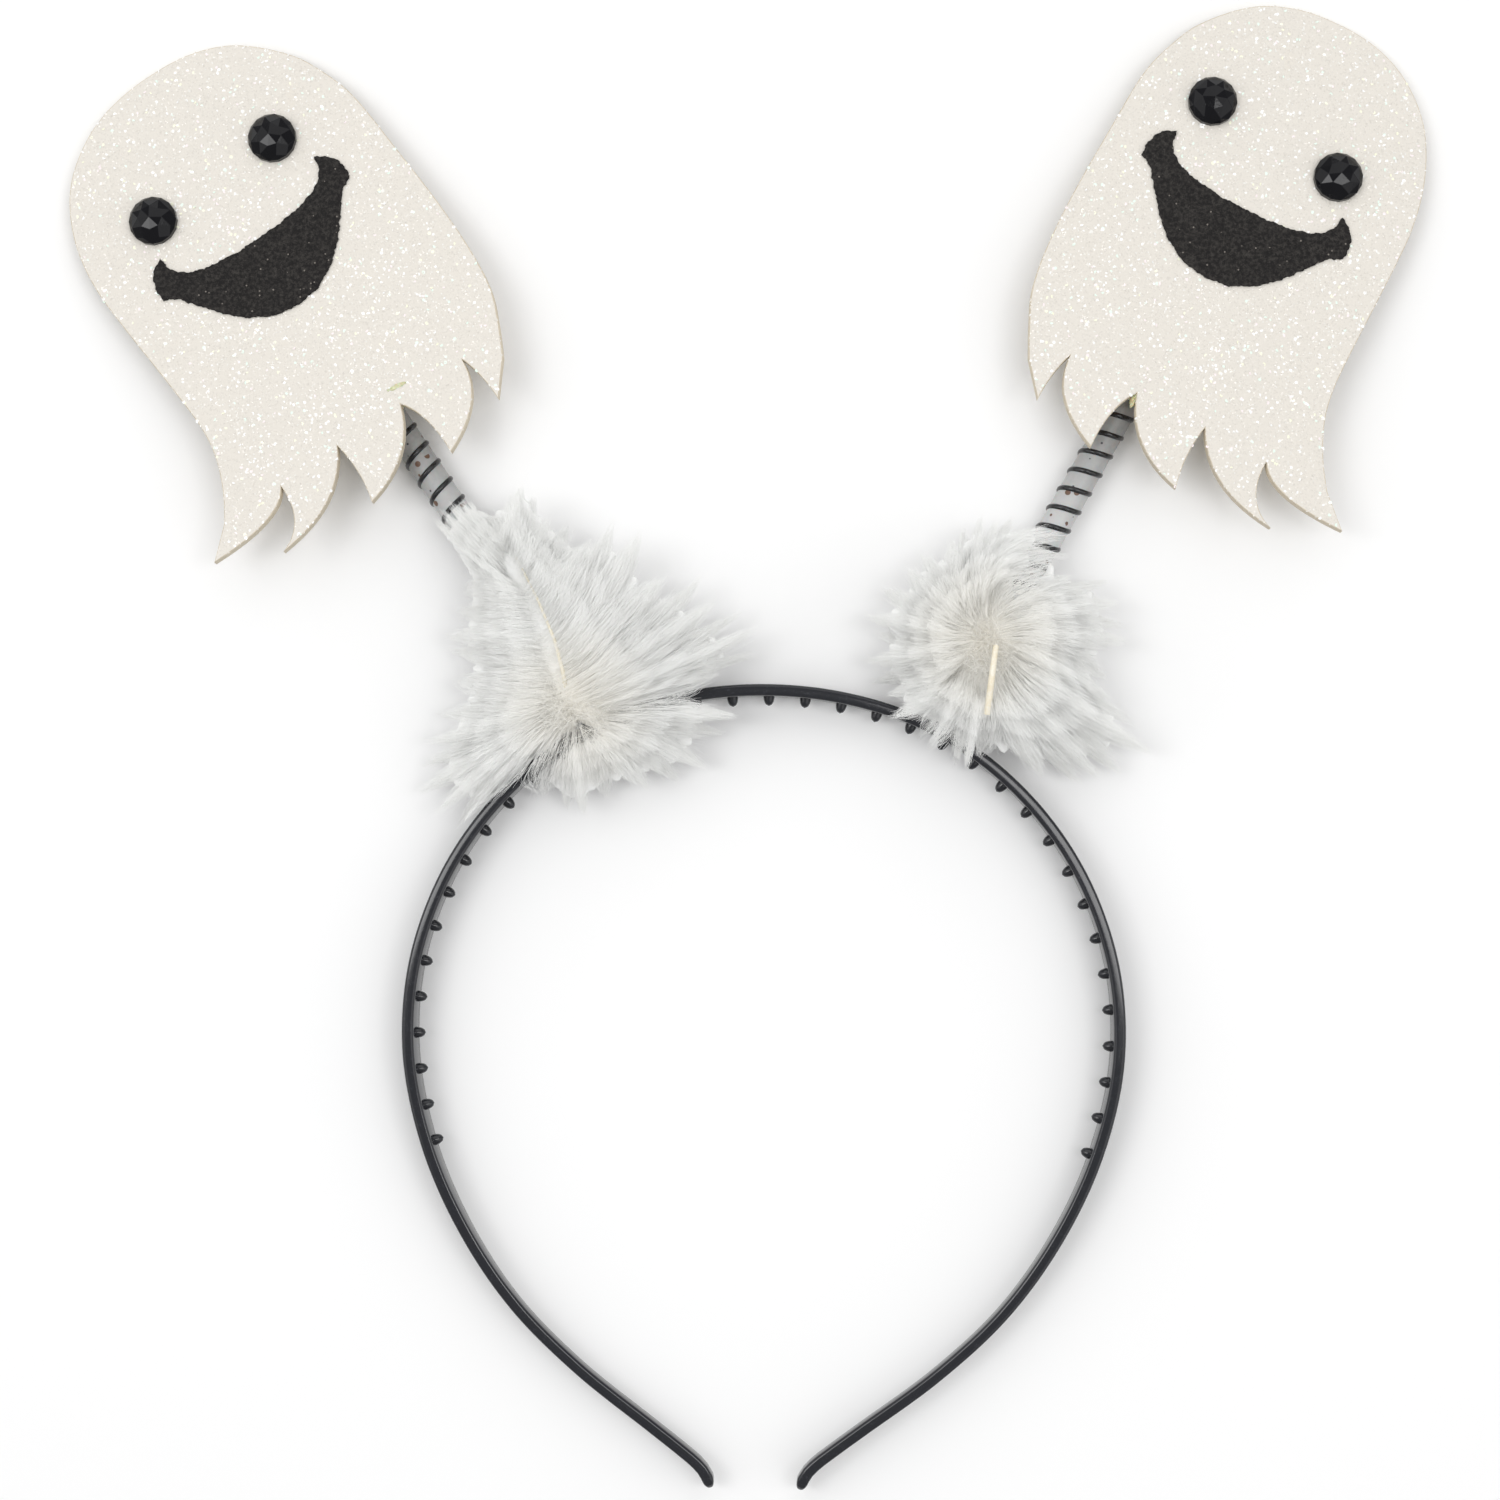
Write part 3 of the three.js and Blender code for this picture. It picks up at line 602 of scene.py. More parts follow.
def quill_finish():
    """Horny cream quill, a little browner and glossier where glue has run on it."""
    finish = Finish("cream quill", specular_ior_level=0.4)
    nodes = finish.nodes
    grain = finish.grain(700, 0.4)
    finish.tint(nodes.ramp(grain, 0.4, 0.7), (0.86, 0.78, 0.6, 1), (0.92, 0.88, 0.77, 1))
    finish.rough(grain, 0.3, 0.35)
    finish.bump(grain, 0.03 * MM, 0.4)
    return finish.material


def floor_finish(settings):
    """Plain pale table top with the faintest mottle."""
    finish = Finish("pale table top", specular_ior_level=0.1)
    grain = finish.grain(40, 0.3)
    colour = tuple(settings.floor_colour)
    finish.tint(grain, brighter(colour, 0.995), colour)
    finish.rough(grain, 0.1, 0.8)
    return finish.material


# Shapes

def as_object(name, vertices, faces=(), edges=(), material=None, smooth=False):
    """A mesh object at the origin from points and faces."""
    mesh = bpy.data.meshes.new(name)
    mesh.from_pydata([tuple(point) for point in vertices], edges, faces)
    piece = bpy.data.objects.new(name, mesh)
    bpy.context.scene.collection.objects.link(piece)
    if material:
        mesh.materials.append(material)
    if smooth:
        mesh.shade_smooth()
    return piece


def face_outwards(piece):
    """Turns the faces of a closed mesh outwards."""
    work = bmesh.new()
    work.from_mesh(piece.data)
    bmesh.ops.recalc_face_normals(work, faces=work.faces)
    work.to_mesh(piece.data)
    work.free()


def weld(piece):
    """Merges vertices that lie in the same place."""
    work = bmesh.new()
    work.from_mesh(piece.data)
    bmesh.ops.remove_doubles(work, verts=work.verts, dist=0.001 * MM)
    work.to_mesh(piece.data)
    work.free()


def loft(rings, capped=True):
    """Vertices and faces of a skin through rings of points."""
    count = len(rings[0])
    vertices = [point for ring in rings for point in ring]
    faces = []
    for row in range(len(rings) - 1):
        for i in range(count):
            a = row * count + i
            b = row * count + (i + 1) % count
            faces.append((a, b, b + count, a + count))
    if capped:
        last = (len(rings) - 1) * count
        faces.append(tuple(range(count - 1, -1, -1)))
        faces.append(tuple(range(last, last + count)))
    return vertices, faces


def joined(name, skins, material, smooth=True):
    """One object from several skins, each a pair of vertices and faces numbered from 0."""
    vertices = []
    faces = []
    for points, sides in skins:
        faces += [tuple(len(vertices) + i for i in side) for side in sides]
        vertices += points
    piece = as_object(name, vertices, faces, material=material, smooth=smooth)
    face_outwards(piece)
    return piece


def soften(piece, degrees):
    """Keeps edges sharper than an angle crisp on a smoothly shaded mesh."""
    piece.data.set_sharp_from_angle(angle=math.radians(degrees))


def placed(piece, matrix):
    """Moves a piece's mesh, its object staying at the origin."""
    piece.data.transform(matrix)
    return piece


def finished(piece, slot, *nodes):
    """Hands a piece to the frame: the body it rides on and the nodes that it stands for, which it hides. The
    slot is not used.
    """
    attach(piece, BODY)
    if nodes:
        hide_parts(*nodes)
    return piece


def grown(name, source, tree, inputs):
    """The mesh that a node tree grows from an object, as a new object. The source object is used up."""
    modifier = source.modifiers.new("Growth", "NODES")
    modifier.node_group = tree
    for item in tree.interface.items_tree:
        if item.in_out == "INPUT" and item.name in inputs:
            modifier[item.identifier] = inputs[item.name]
    bpy.context.view_layer.update()
    depsgraph = bpy.context.evaluated_depsgraph_get()
    mesh = bpy.data.meshes.new_from_object(
        source.evaluated_get(depsgraph), preserve_all_data_layers=True, depsgraph=depsgraph)
    bpy.data.objects.remove(source)
    mesh.name = name
    piece = bpy.data.objects.new(name, mesh)
    bpy.context.scene.collection.objects.link(piece)
    return piece


def growth_tree(name, inputs):
    """A geometry node tree with a Geometry input, named sizes and a Geometry output."""
    group = bpy.data.node_groups.new(name, "GeometryNodeTree")
    group.interface.new_socket("Geometry", in_out="INPUT", socket_type="NodeSocketGeometry")
    for label, kind in inputs.items():
        group.interface.new_socket(label, in_out="INPUT", socket_type="NodeSocket" + kind)
    group.interface.new_socket("Geometry", in_out="OUTPUT", socket_type="NodeSocketGeometry")
    tree = Tree(group)
    return group, tree, tree.add("NodeGroupInput").outputs


def end_tree(tree, geometry, material, smooth=True):
    """Ends a geometry node tree: instances made real, shading and material set."""
    real = tree.add("GeometryNodeRealizeInstances", {"Geometry": geometry}).outputs[0]
    shaded = tree.add("GeometryNodeSetShadeSmooth", {"Geometry": real, "Shade Smooth": smooth}).outputs[0]
    finish = tree.add("GeometryNodeSetMaterial", {"Geometry": shaded, "Material": material}).outputs[0]
    tree.add("NodeGroupOutput", {"Geometry": finish})


# The band's centre line

def hermite(start, end, leave, reach, share):
    """Points at shares of the way from start to end, on a curve with these slopes at its ends."""
    bend = 3 * (end - start) - 2 * leave - reach
    twist = 2 * (start - end) + leave + reach
    return start + leave * share + bend * share ** 2 + twist * share ** 3


def catmull_rom(before, start, end, after, steps):
    """Points of a centripetal Catmull-Rom stretch from start to end, without the end."""
    steps_between = np.linalg.norm(np.diff([before, start, end, after], axis=0), axis=1)
    first, middle, last = np.maximum(steps_between, 1e-9) ** 0.5
    leave = ((start - before) / first - (end - before) / (first + middle) + (end - start) / middle) * middle
    reach = ((end - start) / middle - (after - start) / (middle + last) + (after - end) / last) * middle
    return hermite(start, end, leave, reach, (np.arange(steps) / steps)[:, None])


UP = Vector((0, 0, 1))


class BandLine:
    """The band's centre line by distance from the crown, in metres, negative to the left."""

    STEPS = 40

    def __init__(self, band):
        rows = [BandRow(-row.across, row.down, row.width) for row in BAND_ROWS[:0:-1]] + BAND_ROWS
        half = (RING_WIDTH - band.thickness) / 2
        knots = np.array([(row.across * half, -row.down * RING_DEPTH, band.width / 2) for row in rows])
        whole = np.vstack([2 * knots[0] - knots[1], knots, 2 * knots[-1] - knots[-2]])
        parts = [catmull_rom(*whole[i:i + 4], self.STEPS) for i in range(len(knots) - 1)]
        self.points = np.vstack(parts + [knots[-1:]])
        steps = np.linalg.norm(np.diff(self.points, axis=0), axis=1)
        travelled = np.concatenate([[0], np.cumsum(steps)])
        self.length = travelled[-1]
        self.distances = travelled - self.length / 2
        place = np.linspace(0, len(rows) - 1, len(self.points))
        self.widths = np.interp(place, np.arange(len(rows)), [row.width for row in rows]) * band.width
        self.directions = np.gradient(self.points, self.distances, axis=0)

    def at(self, distance):
        """Centre, direction along, direction outwards and width at a distance."""
        centre = Vector([np.interp(distance, self.distances, self.points[:, k]) for k in range(3)])
        along = Vector([np.interp(distance, self.distances, self.directions[:, k]) for k in range(3)])
        along.normalize()
        width = float(np.interp(distance, self.distances, self.widths))
        return centre, along, UP.cross(along), width


class SpringAxis:
    """Where a side's spring runs: its foot on the band's centre line, directions, start and end."""

    def __init__(self, band, side):
        line = BandLine(band)
        self.foot, _, outward, _ = line.at(side.hand * FOOT_DISTANCE)
        self.end = side.reach * MM + SPRING_BEHIND_GHOST
        lean = math.radians(side.lean)
        drop = SPRING_DROP / self.end
        self.along = Vector((side.hand * math.sin(lean), math.cos(lean), -drop)).normalized()
        self.across = self.along.cross(UP).normalized()
        self.rise = self.across.cross(self.along)
        skew = self.along.angle(outward)
        clear = band.thickness / 2 + SEAT_GAP + COIL_OUTER * math.sin(skew)
        self.start = clear / math.cos(skew)

    def ring(self, radius, distance, sides):
        """Points round the axis at a distance along it."""
        turns = np.linspace(0, 2 * math.pi, sides, endpoint=False)
        return [self.foot + self.along * distance
                + (self.rise * math.cos(turn) + self.across * math.sin(turn)) * radius for turn in turns]

    def matrix(self, distance, turn=0.0):
        """From a frame with Z along the axis, X rising and its origin at a distance along it."""
        place = self.foot + self.along * distance
        turned = Matrix.Rotation(turn, 4, "Z")
        axes = Matrix((self.rise, self.across, self.along)).transposed().to_4x4()
        return Matrix.Translation(place) @ axes @ turned


def ghost_matrix(band, side):
    """From a ghost's own frame, its origin at the notch on the foam's back and Y up the ghost."""
    axis = SpringAxis(band, side)
    spring_end = axis.foot + axis.along * axis.end
    tilt = math.asin((spring_end.z + COIL_OUTER + GHOST_OVER_SPRING) / (GHOST_HEIGHT - SPRING_BEHIND_GHOST))
    place = axis.foot + axis.along * side.reach * MM - axis.across * side.hand * side.notch_aside * MM
    place.z = GHOST_HEIGHT * math.sin(tilt)
    turn = Matrix.Rotation(-side.hand * math.radians(side.turn), 4, "Z")
    return Matrix.Translation(place) @ turn @ Matrix.Rotation(-tilt, 4, "X")


# Band

def section(outer, inner, width, radius, size=1.0):
    """The band's section as points outwards and up, with round corners."""
    corners = [(outer - radius, width / 2 - radius, 0), (inner + radius, width / 2 - radius, 90),
               (inner + radius, -width / 2 + radius, 180), (outer - radius, -width / 2 + radius, 270)]
    points = []
    for out, rise, start in corners:
        for turn in (0, 22.5, 45, 67.5, 90):
            angle = math.radians(start + turn)
            points.append(((out + radius * math.cos(angle)) * size, (rise + radius * math.sin(angle)) * size))
    return points


def band_skin(band):
    """The band itself, swept along its centre line and rounded off at both tips."""
    line = BandLine(band)
    half = band.thickness / 2
    end = line.length / 2 + 0.9 * half
    straight = end - TIP_ROUNDING
    angles = np.linspace(0, math.pi / 2 * 0.97, 12)[1:]
    tip = [(straight + TIP_ROUNDING * math.sin(angle), math.cos(angle)) for angle in angles]
    stops = [(-distance, size) for distance, size in tip[::-1]]
    stops += [(distance, 1) for distance in np.linspace(-straight, straight, 260)]
    stops += tip
    rings = []
    for distance, size in stops:
        centre, along, outward, width = line.at(distance)
        beyond = max(abs(distance) - line.length / 2, 0) * math.copysign(1, distance)
        rings.append([centre + along * beyond + outward * a + UP * b
                      for a, b in section(half, -half, width, band.edge_radius, size)])
    return loft(rings)


def rod_skin(axis, radius, start, end, sides=32):
    """A plain round rod on a spring's axis."""
    return loft([axis.ring(radius, distance, sides) for distance in (start, end)])


def peg_tree():
    """Domed pegs grown on points, each pointing along the attribute inward."""
    group, tree, given = growth_tree("Comb pegs", {
        "Diameter": "Float", "Length": "Float", "Material": "Material"})
    line = tree.add("GeometryNodeCurvePrimitiveLine", {"End": (0, 0, 1)}).outputs[0]
    core = tree.add("GeometryNodeResampleCurve", {"Curve": line, "Count": 12}).outputs[0]
    share = tree.add("GeometryNodeSplineParameter").outputs["Factor"]
    bulk = tree.maths("SUBTRACT", 1.0, tree.maths("POWER", share, 3.2))
    round_end = tree.maths("SQRT", tree.maths("MAXIMUM", bulk, 0.0004))
    radius = tree.maths("MULTIPLY", round_end, tree.maths("MULTIPLY", given["Diameter"], 0.5))
    lengthened = tree.add("ShaderNodeCombineXYZ", {"X": 1.0, "Y": 1.0, "Z": given["Length"]}).outputs[0]
    tall = tree.add("GeometryNodeTransform", {"Geometry": core, "Scale": lengthened}).outputs[0]
    circle = tree.add("GeometryNodeCurvePrimitiveCircle", {"Resolution": 16, "Radius": 1.0}).outputs[0]
    peg = tree.add("GeometryNodeCurveToMesh", {"Curve": tall, "Profile Curve": circle, "Scale": radius,
                                               "Fill Caps": True}).outputs[0]
    inward = tree.add("GeometryNodeInputNamedAttribute", {"Name": "inward"}, data_type="FLOAT_VECTOR")
    turned = tree.add("FunctionNodeAlignRotationToVector", {"Vector": inward.outputs[0]}, axis="Z")
    pegs = tree.add("GeometryNodeInstanceOnPoints", {"Points": given["Geometry"], "Instance": peg,
                                                     "Rotation": turned.outputs[0]}).outputs[0]
    end_tree(tree, pegs, given["Material"])
    return group


def merged(name, pieces):
    """One object from the meshes of several, which are used up."""
    with bpy.context.temp_override(active_object=pieces[0], selected_editable_objects=pieces,
                                   object=pieces[0], selected_objects=pieces):
        bpy.ops.object.join()
    pieces[0].name = name
    return pieces[0]


class BOPPER_OT_band(bpy.types.Operator):
    """Build the moulded comb band with its pegs and the two posts for the springs"""
    bl_idname = "bopper.band"
    bl_label = "Comb band"

    def execute(self, context):
        band = context.scene.bopper_band
        material = plastic_finish(band)
        line = BandLine(band)
        skins = [band_skin(band)]
        for side in SIDES:
            axis = SpringAxis(band, side)
            skins.append(rod_skin(axis, POST_RADIUS, 0, band.thickness / 2 + POST_HEIGHT))
        body = joined("headband_moulded", skins, material)
        soften(body, 50)
        places = [line.at(i * band.peg_pitch) for i in range(-PEGS_PER_SIDE, PEGS_PER_SIDE + 1)]
        roots = as_object("peg_roots", [centre for centre, _, _, _ in places])
        inward = roots.data.attributes.new("inward", "FLOAT_VECTOR", "POINT")
        inward.data.foreach_set("vector", [value for _, _, outward, _ in places for value in -outward])
        pegs = grown("pegs", roots, peg_tree(), {
            "Diameter": band.peg_diameter, "Length": band.thickness / 2 + band.peg_length,
            "Material": material})
        finished(merged("headband_moulded", [body, pegs]), "band_plastic", "headband")
        return {"FINISHED"}


# Springs and sleeves

def coil_tree():
    """A coil of round wire, rising along Z from the origin."""
    group, tree, given = growth_tree("Coil spring", {
        "Turns": "Float", "Pitch": "Float", "Coil radius": "Float", "Wire diameter": "Float",
        "Steps": "Int", "Material": "Material"})
    height = tree.maths("MULTIPLY", given["Turns"], given["Pitch"])
    spiral = tree.add("GeometryNodeCurveSpiral", {
        "Resolution": given["Steps"], "Rotations": given["Turns"], "Start Radius": given["Coil radius"],
        "End Radius": given["Coil radius"], "Height": height, "Reverse": True}).outputs[0]
    circle = tree.add("GeometryNodeCurvePrimitiveCircle", {"Resolution": 12, "Radius": 0.5}).outputs[0]
    wire = tree.add("GeometryNodeCurveToMesh", {
        "Curve": spiral, "Profile Curve": circle, "Scale": given["Wire diameter"],
        "Fill Caps": True}).outputs[0]
    end_tree(tree, wire, given["Material"])
    return group


class BOPPER_OT_springs(bpy.types.Operator):
    """Coil the two wire springs and slide a milky sleeve into each"""
    bl_idname = "bopper.springs"
    bl_label = "Springs and sleeves"

    def execute(self, context):
        band = context.scene.bopper_band
        spring = context.scene.bopper_spring
        wire = wire_finish(spring)
        milky = sleeve_finish(spring)
        tree = coil_tree()
        radius = COIL_OUTER - spring.wire_diameter / 2
        for side in SIDES:
            axis = SpringAxis(band, side)
            first = axis.start + spring.wire_diameter / 2
            turns = (axis.end - spring.wire_diameter / 2 - first) / (side.pitch * MM)
            source = as_object("coil_source", [])
            coil = grown(f"spring_{side.name}_coil", source, tree, {
                "Turns": turns, "Pitch": side.pitch * MM, "Coil radius": radius,
                "Wire diameter": spring.wire_diameter, "Steps": spring.turn_steps, "Material": wire})
            placed(coil, axis.matrix(first, math.radians(side.wire_turn)))
            finished(coil, "spring_wire", f"spring_{side.name}")
            self.sleeve(axis, side, spring, milky)
        return {"FINISHED"}

    def sleeve(self, axis, side, spring, material):
        """An open tube with a wall, flush with the wire at both ends."""
        outer = spring.sleeve_diameter / 2
        inner = outer - spring.sleeve_wall
        ends = [(inner, axis.start), (outer, axis.start), (outer, axis.end), (inner, axis.end),
                (inner, axis.start)]
        vertices, faces = loft([axis.ring(radius, distance, 48) for radius, distance in ends], capped=False)
        tube = as_object(f"sleeve_{side.name}_tube", vertices, faces, material=material, smooth=True)
        weld(tube)
        face_outwards(tube)
        soften(tube, 40)
        # The foot attribute runs from 1 at the band's end to 0 at the ghost's end; the material paints the
        # sleeve paler by it, painted light and shade
        foot = tube.data.attributes.new("foot", "FLOAT", "POINT")
        for vertex in tube.data.vertices:
            foot.data[vertex.index].value = 1 if (vertex.co - axis.foot).dot(axis.along) < axis.end / 2 else 0
        finished(tube, "spring_sleeve", f"sleeve_{side.name}")


# Ghosts

def ghost_point(side, across, rise):
    """A point of a ghost's outline in its own frame, its head leaned and its outer side let out."""
    outer_share = 2 * max(-across, 0)
    shift = max(rise, 0) * (side.head_shift - side.head_out * outer_share) * MM
    return np.array((-side.hand * (across * GHOST_WIDTH + shift), rise * GHOST_HEIGHT))


def ghost_outline(side):
    """The whole outline, its tips and notches sharp."""
    place = [ghost_point(side, *row) for row in GHOST_BODY]
    padded = [place[0]] + place + [place[-1]]
    points = []
    for before, start, end, after in zip(padded, padded[1:], padded[2:], padded[3:]):
        share = np.linspace(0, 1, 8, endpoint=False)[:, None]
        points += list(hermite(start, end, (end - before) / 2, (after - start) / 2, share))
    points.append(place[-1])
    tips = [ghost_point(side, *tail.tip) for tail in GHOST_TAILS] + [ghost_point(side, *GHOST_INNER_TIP)]
    points.append(tips[0])
    for tail, tip, following in zip(GHOST_TAILS, tips, tips[1:]):
        notch = ghost_point(side, *tail.notch)
        for start, control, end in ((tip, ghost_point(side, *tail.belly), notch),
                                    (notch, ghost_point(side, *tail.back), following)):
            for share in np.linspace(0, 1, 13)[1:]:
                points.append((1 - share) ** 2 * start + 2 * share * (1 - share) * control + share ** 2 * end)
    return np.array(points)


def inset(points, distance):
    """An outline moved inwards, its corners mitred up to twice the distance."""
    before = points - np.roll(points, 1, axis=0)
    after = np.roll(points, -1, axis=0) - points
    area = np.sum(points[:, 0] * np.roll(points[:, 1], -1) - points[:, 1] * np.roll(points[:, 0], -1))
    hand = 1 if area > 0 else -1

    def inward(steps):
        length = np.maximum(np.linalg.norm(steps, axis=1, keepdims=True), 1e-12)
        return hand * np.stack([-steps[:, 1], steps[:, 0]], axis=1) / length

    first, second = inward(before), inward(after)
    middle = first + second
    middle /= np.maximum(np.linalg.norm(middle, axis=1, keepdims=True), 1e-9)
    stretch = 1 / np.maximum(np.sum(middle * first, axis=1, keepdims=True), 0.5)
    return points + middle * stretch * distance


def slab(name, outline, thickness, radius, material, edge_material=None):
    """A flat sheet cut to an outline, its edges rounded. Its edge and back take the second material."""
    levels = [(radius, 0), (radius * 0.3, radius * 0.3), (0, radius), (0, thickness - radius),
              (radius * 0.3, thickness - radius * 0.3), (radius, thickness)]
    rings = []
    for distance, height in levels:
        rings.append([(x, y, height) for x, y in inset(outline, distance)])
    vertices, faces = loft(rings)
    piece = as_object(name, vertices, faces, material=material)
    if edge_material:
        piece.data.materials.append(edge_material)
        for face in piece.data.polygons[:-1]:
            face.material_index = 1
    work = bmesh.new()
    work.from_mesh(piece.data)
    caps = [face for face in work.faces if len(face.verts) > 4]
    bmesh.ops.triangulate(work, faces=caps)
    bmesh.ops.recalc_face_normals(work, faces=work.faces)
    work.to_mesh(piece.data)
    work.free()
    return piece


def glitter_tree():
    """Tilted hexagonal flakes strewn over the upward faces of a sheet."""
    group, tree, given = growth_tree("Glitter", {
        "Density": "Float", "Diameter": "Float", "Seed": "Int", "Material": "Material"})
    normal = tree.add("GeometryNodeInputNormal").outputs[0]
    facing = tree.add("ShaderNodeSeparateXYZ", {"Vector": normal}).outputs["Z"]
    front = tree.maths("GREATER_THAN", facing, 0.9)
    strewn = tree.add("GeometryNodeDistributePointsOnFaces", {
        "Mesh": given["Geometry"], "Selection": front, "Density": given["Density"], "Seed": given["Seed"]})
    hexagon = tree.add("GeometryNodeMeshCircle", {"Vertices": 6, "Radius": 0.5}, fill_type="NGON").outputs[0]
    tilt = tree.add("FunctionNodeRandomValue", {0: (-0.25, -0.25, 0.0), 1: (0.25, 0.25, math.tau),
                                                "Seed": SEED}, data_type="FLOAT_VECTOR").outputs[0]
    turned = tree.add("FunctionNodeRotateRotation", {
        "Rotation": strewn.outputs["Rotation"],
        "Rotate By": tree.add("FunctionNodeEulerToRotation", {"Euler": tilt}).outputs[0]}).outputs[0]
    size = tree.add("FunctionNodeRandomValue", {2: 0.55, 3: 1.15, "Seed": SEED + 1}, data_type="FLOAT")
    # The tint drawn here picks each flake's colour, the painted glints among them; the white glint flakes are
    # made larger
    tint = tree.add("FunctionNodeRandomValue", {2: 0.0, 3: 1.0, "Seed": SEED + 2}, data_type="FLOAT")
    large = tree.maths("GREATER_THAN", tint.outputs[1], LARGE_FLAKES)
    share = tree.maths("MULTIPLY_ADD", large, 0.8, size.outputs[1])
    flakes = tree.add("GeometryNodeInstanceOnPoints", {
        "Points": strewn.outputs["Points"], "Instance": hexagon, "Rotation": turned,
        "Scale": tree.maths("MULTIPLY", share, given["Diameter"])}).outputs[0]
    tinted = tree.add("GeometryNodeStoreNamedAttribute", {
        "Geometry": flakes, "Name": "tint", "Value": tint.outputs[1]}, data_type="FLOAT",
        domain="INSTANCE").outputs[0]
    end_tree(tree, tinted, given["Material"], smooth=False)
    return group


class BOPPER_OT_ghosts(bpy.types.Operator):
    """Cut the two ghosts from glitter foam and strew their fronts with flakes"""
    bl_idname = "bopper.ghosts"
    bl_label = "Foam ghosts"

    def execute(self, context):
        band = context.scene.bopper_band
        ghost = context.scene.bopper_ghost
        foam = foam_finish("glitter foam front", ghost.foam_colour, 2600)
        cut = foam_finish("glitter foam cut edge", ghost.cut_colour, 1400)
        flakes = flake_finish()
        tree = glitter_tree()
        for number, side in enumerate(SIDES):
            matrix = ghost_matrix(band, side)
            sheet = slab(f"ghost_{side.name}_foam", ghost_outline(side), ghost.thickness,
                         ghost.edge_radius, foam, cut)
            copy = bpy.data.objects.new("glitter_source", sheet.data.copy())
            context.scene.collection.objects.link(copy)
            glitter = grown(f"ghost_{side.name}_glitter", copy, tree, {
                "Density": ghost.flake_density, "Diameter": ghost.flake_diameter,
                "Seed": SEED + number, "Material": flakes})
            placed(glitter, Matrix.Translation((0, 0, HAIR_GAP)))
            placed(sheet, matrix)
            placed(glitter, matrix)
            finished(sheet, "glitter_foam", f"ghost_{side.name}")
            finished(glitter, "glitter_foam", f"ghost_{side.name}")
        return {"FINISHED"}


# Faces

# Rounding of the smile's front edge, the steps along its ragged outline and the lengths of the waves in it
SMILE_EDGE = 0.12 * MM
RAG_STEP = 0.2 * MM
LONG_WAVE = 0.9 * MM
SHORT_WAVE = 0.4 * MM


def smile_outline(face):
    """The smile's outline, its edge wandering a little as flocked card does when it is cut."""
    right = [np.array((across * SMILE_WIDTH / 2, (0.5 - down) * SMILE_DEPTH)) for across, down in SMILE_HALF]
    left = [point * (-1, 1) for point in right[-2:0:-1]]
    corners = right + left
    points = []
    for start, end in zip(corners, corners[1:] + corners[:1]):
        steps = max(int(np.linalg.norm(end - start) / RAG_STEP), 1)
        points += [start + (end - start) * k / steps for k in range(steps)]
    points = np.array(points)
    wander = [noise.noise(Vector((x, y, 0)) / LONG_WAVE)
              + 0.7 * noise.noise(Vector((x, y, 0.01)) / SHORT_WAVE) for x, y in points]
    moved = inset(points, 1.0) - points
    return points + moved * np.array(wander)[:, None] * face.smile_rag


# A gem's rings of corners under its point: how many times the facets' number they count, radius as a share
# of the girdle's, height as a share of the dome's, and the turn as a share of one facet
GemRing = namedtuple("GemRing", "times size rise turned")
GEM_FACETS = 8
GEM_RINGS = [GemRing(2, 0.965, 0.06, 0), GemRing(1, 0.86, 0.36, 0.5), GemRing(1, 0.5, 0.8, 0)]
GEM_GIRDLE = 1.1 * MM
GEM_BEVEL = 0.035 * MM
# Small turns of the outer and the inner gem, in radians
GEM_TURNS = [0.06, -0.08]


def gem(name, face, turn, material):
    """A faceted dome on a plain girdle, with flat facets."""
    radius = face.gem_diameter / 2
    dome = face.gem_height - GEM_GIRDLE
    work = bmesh.new()
    rows = [(GemRing(2, 1, 0, 0), 0)] + [(row, GEM_GIRDLE) for row in (GemRing(2, 1, 0, 0), *GEM_RINGS)]
    for row, base in rows:
        count = GEM_FACETS * row.times
        for i in range(count):
            angle = turn + (i + row.turned) / count * math.tau
            away = radius * row.size
            work.verts.new((away * math.cos(angle), away * math.sin(angle), base + dome * row.rise))
    work.verts.new((0, 0, face.gem_height))
    bmesh.ops.convex_hull(work, input=work.verts)
    bmesh.ops.dissolve_limit(work, angle_limit=math.radians(1), verts=work.verts, edges=work.edges)
    bmesh.ops.recalc_face_normals(work, faces=work.faces)
    piece = as_object(name, [], material=material)
    bmesh.ops.bevel(work, geom=list(work.edges), offset=GEM_BEVEL, segments=1, affect="EDGES")
    work.to_mesh(piece.data)
    work.free()
    return piece


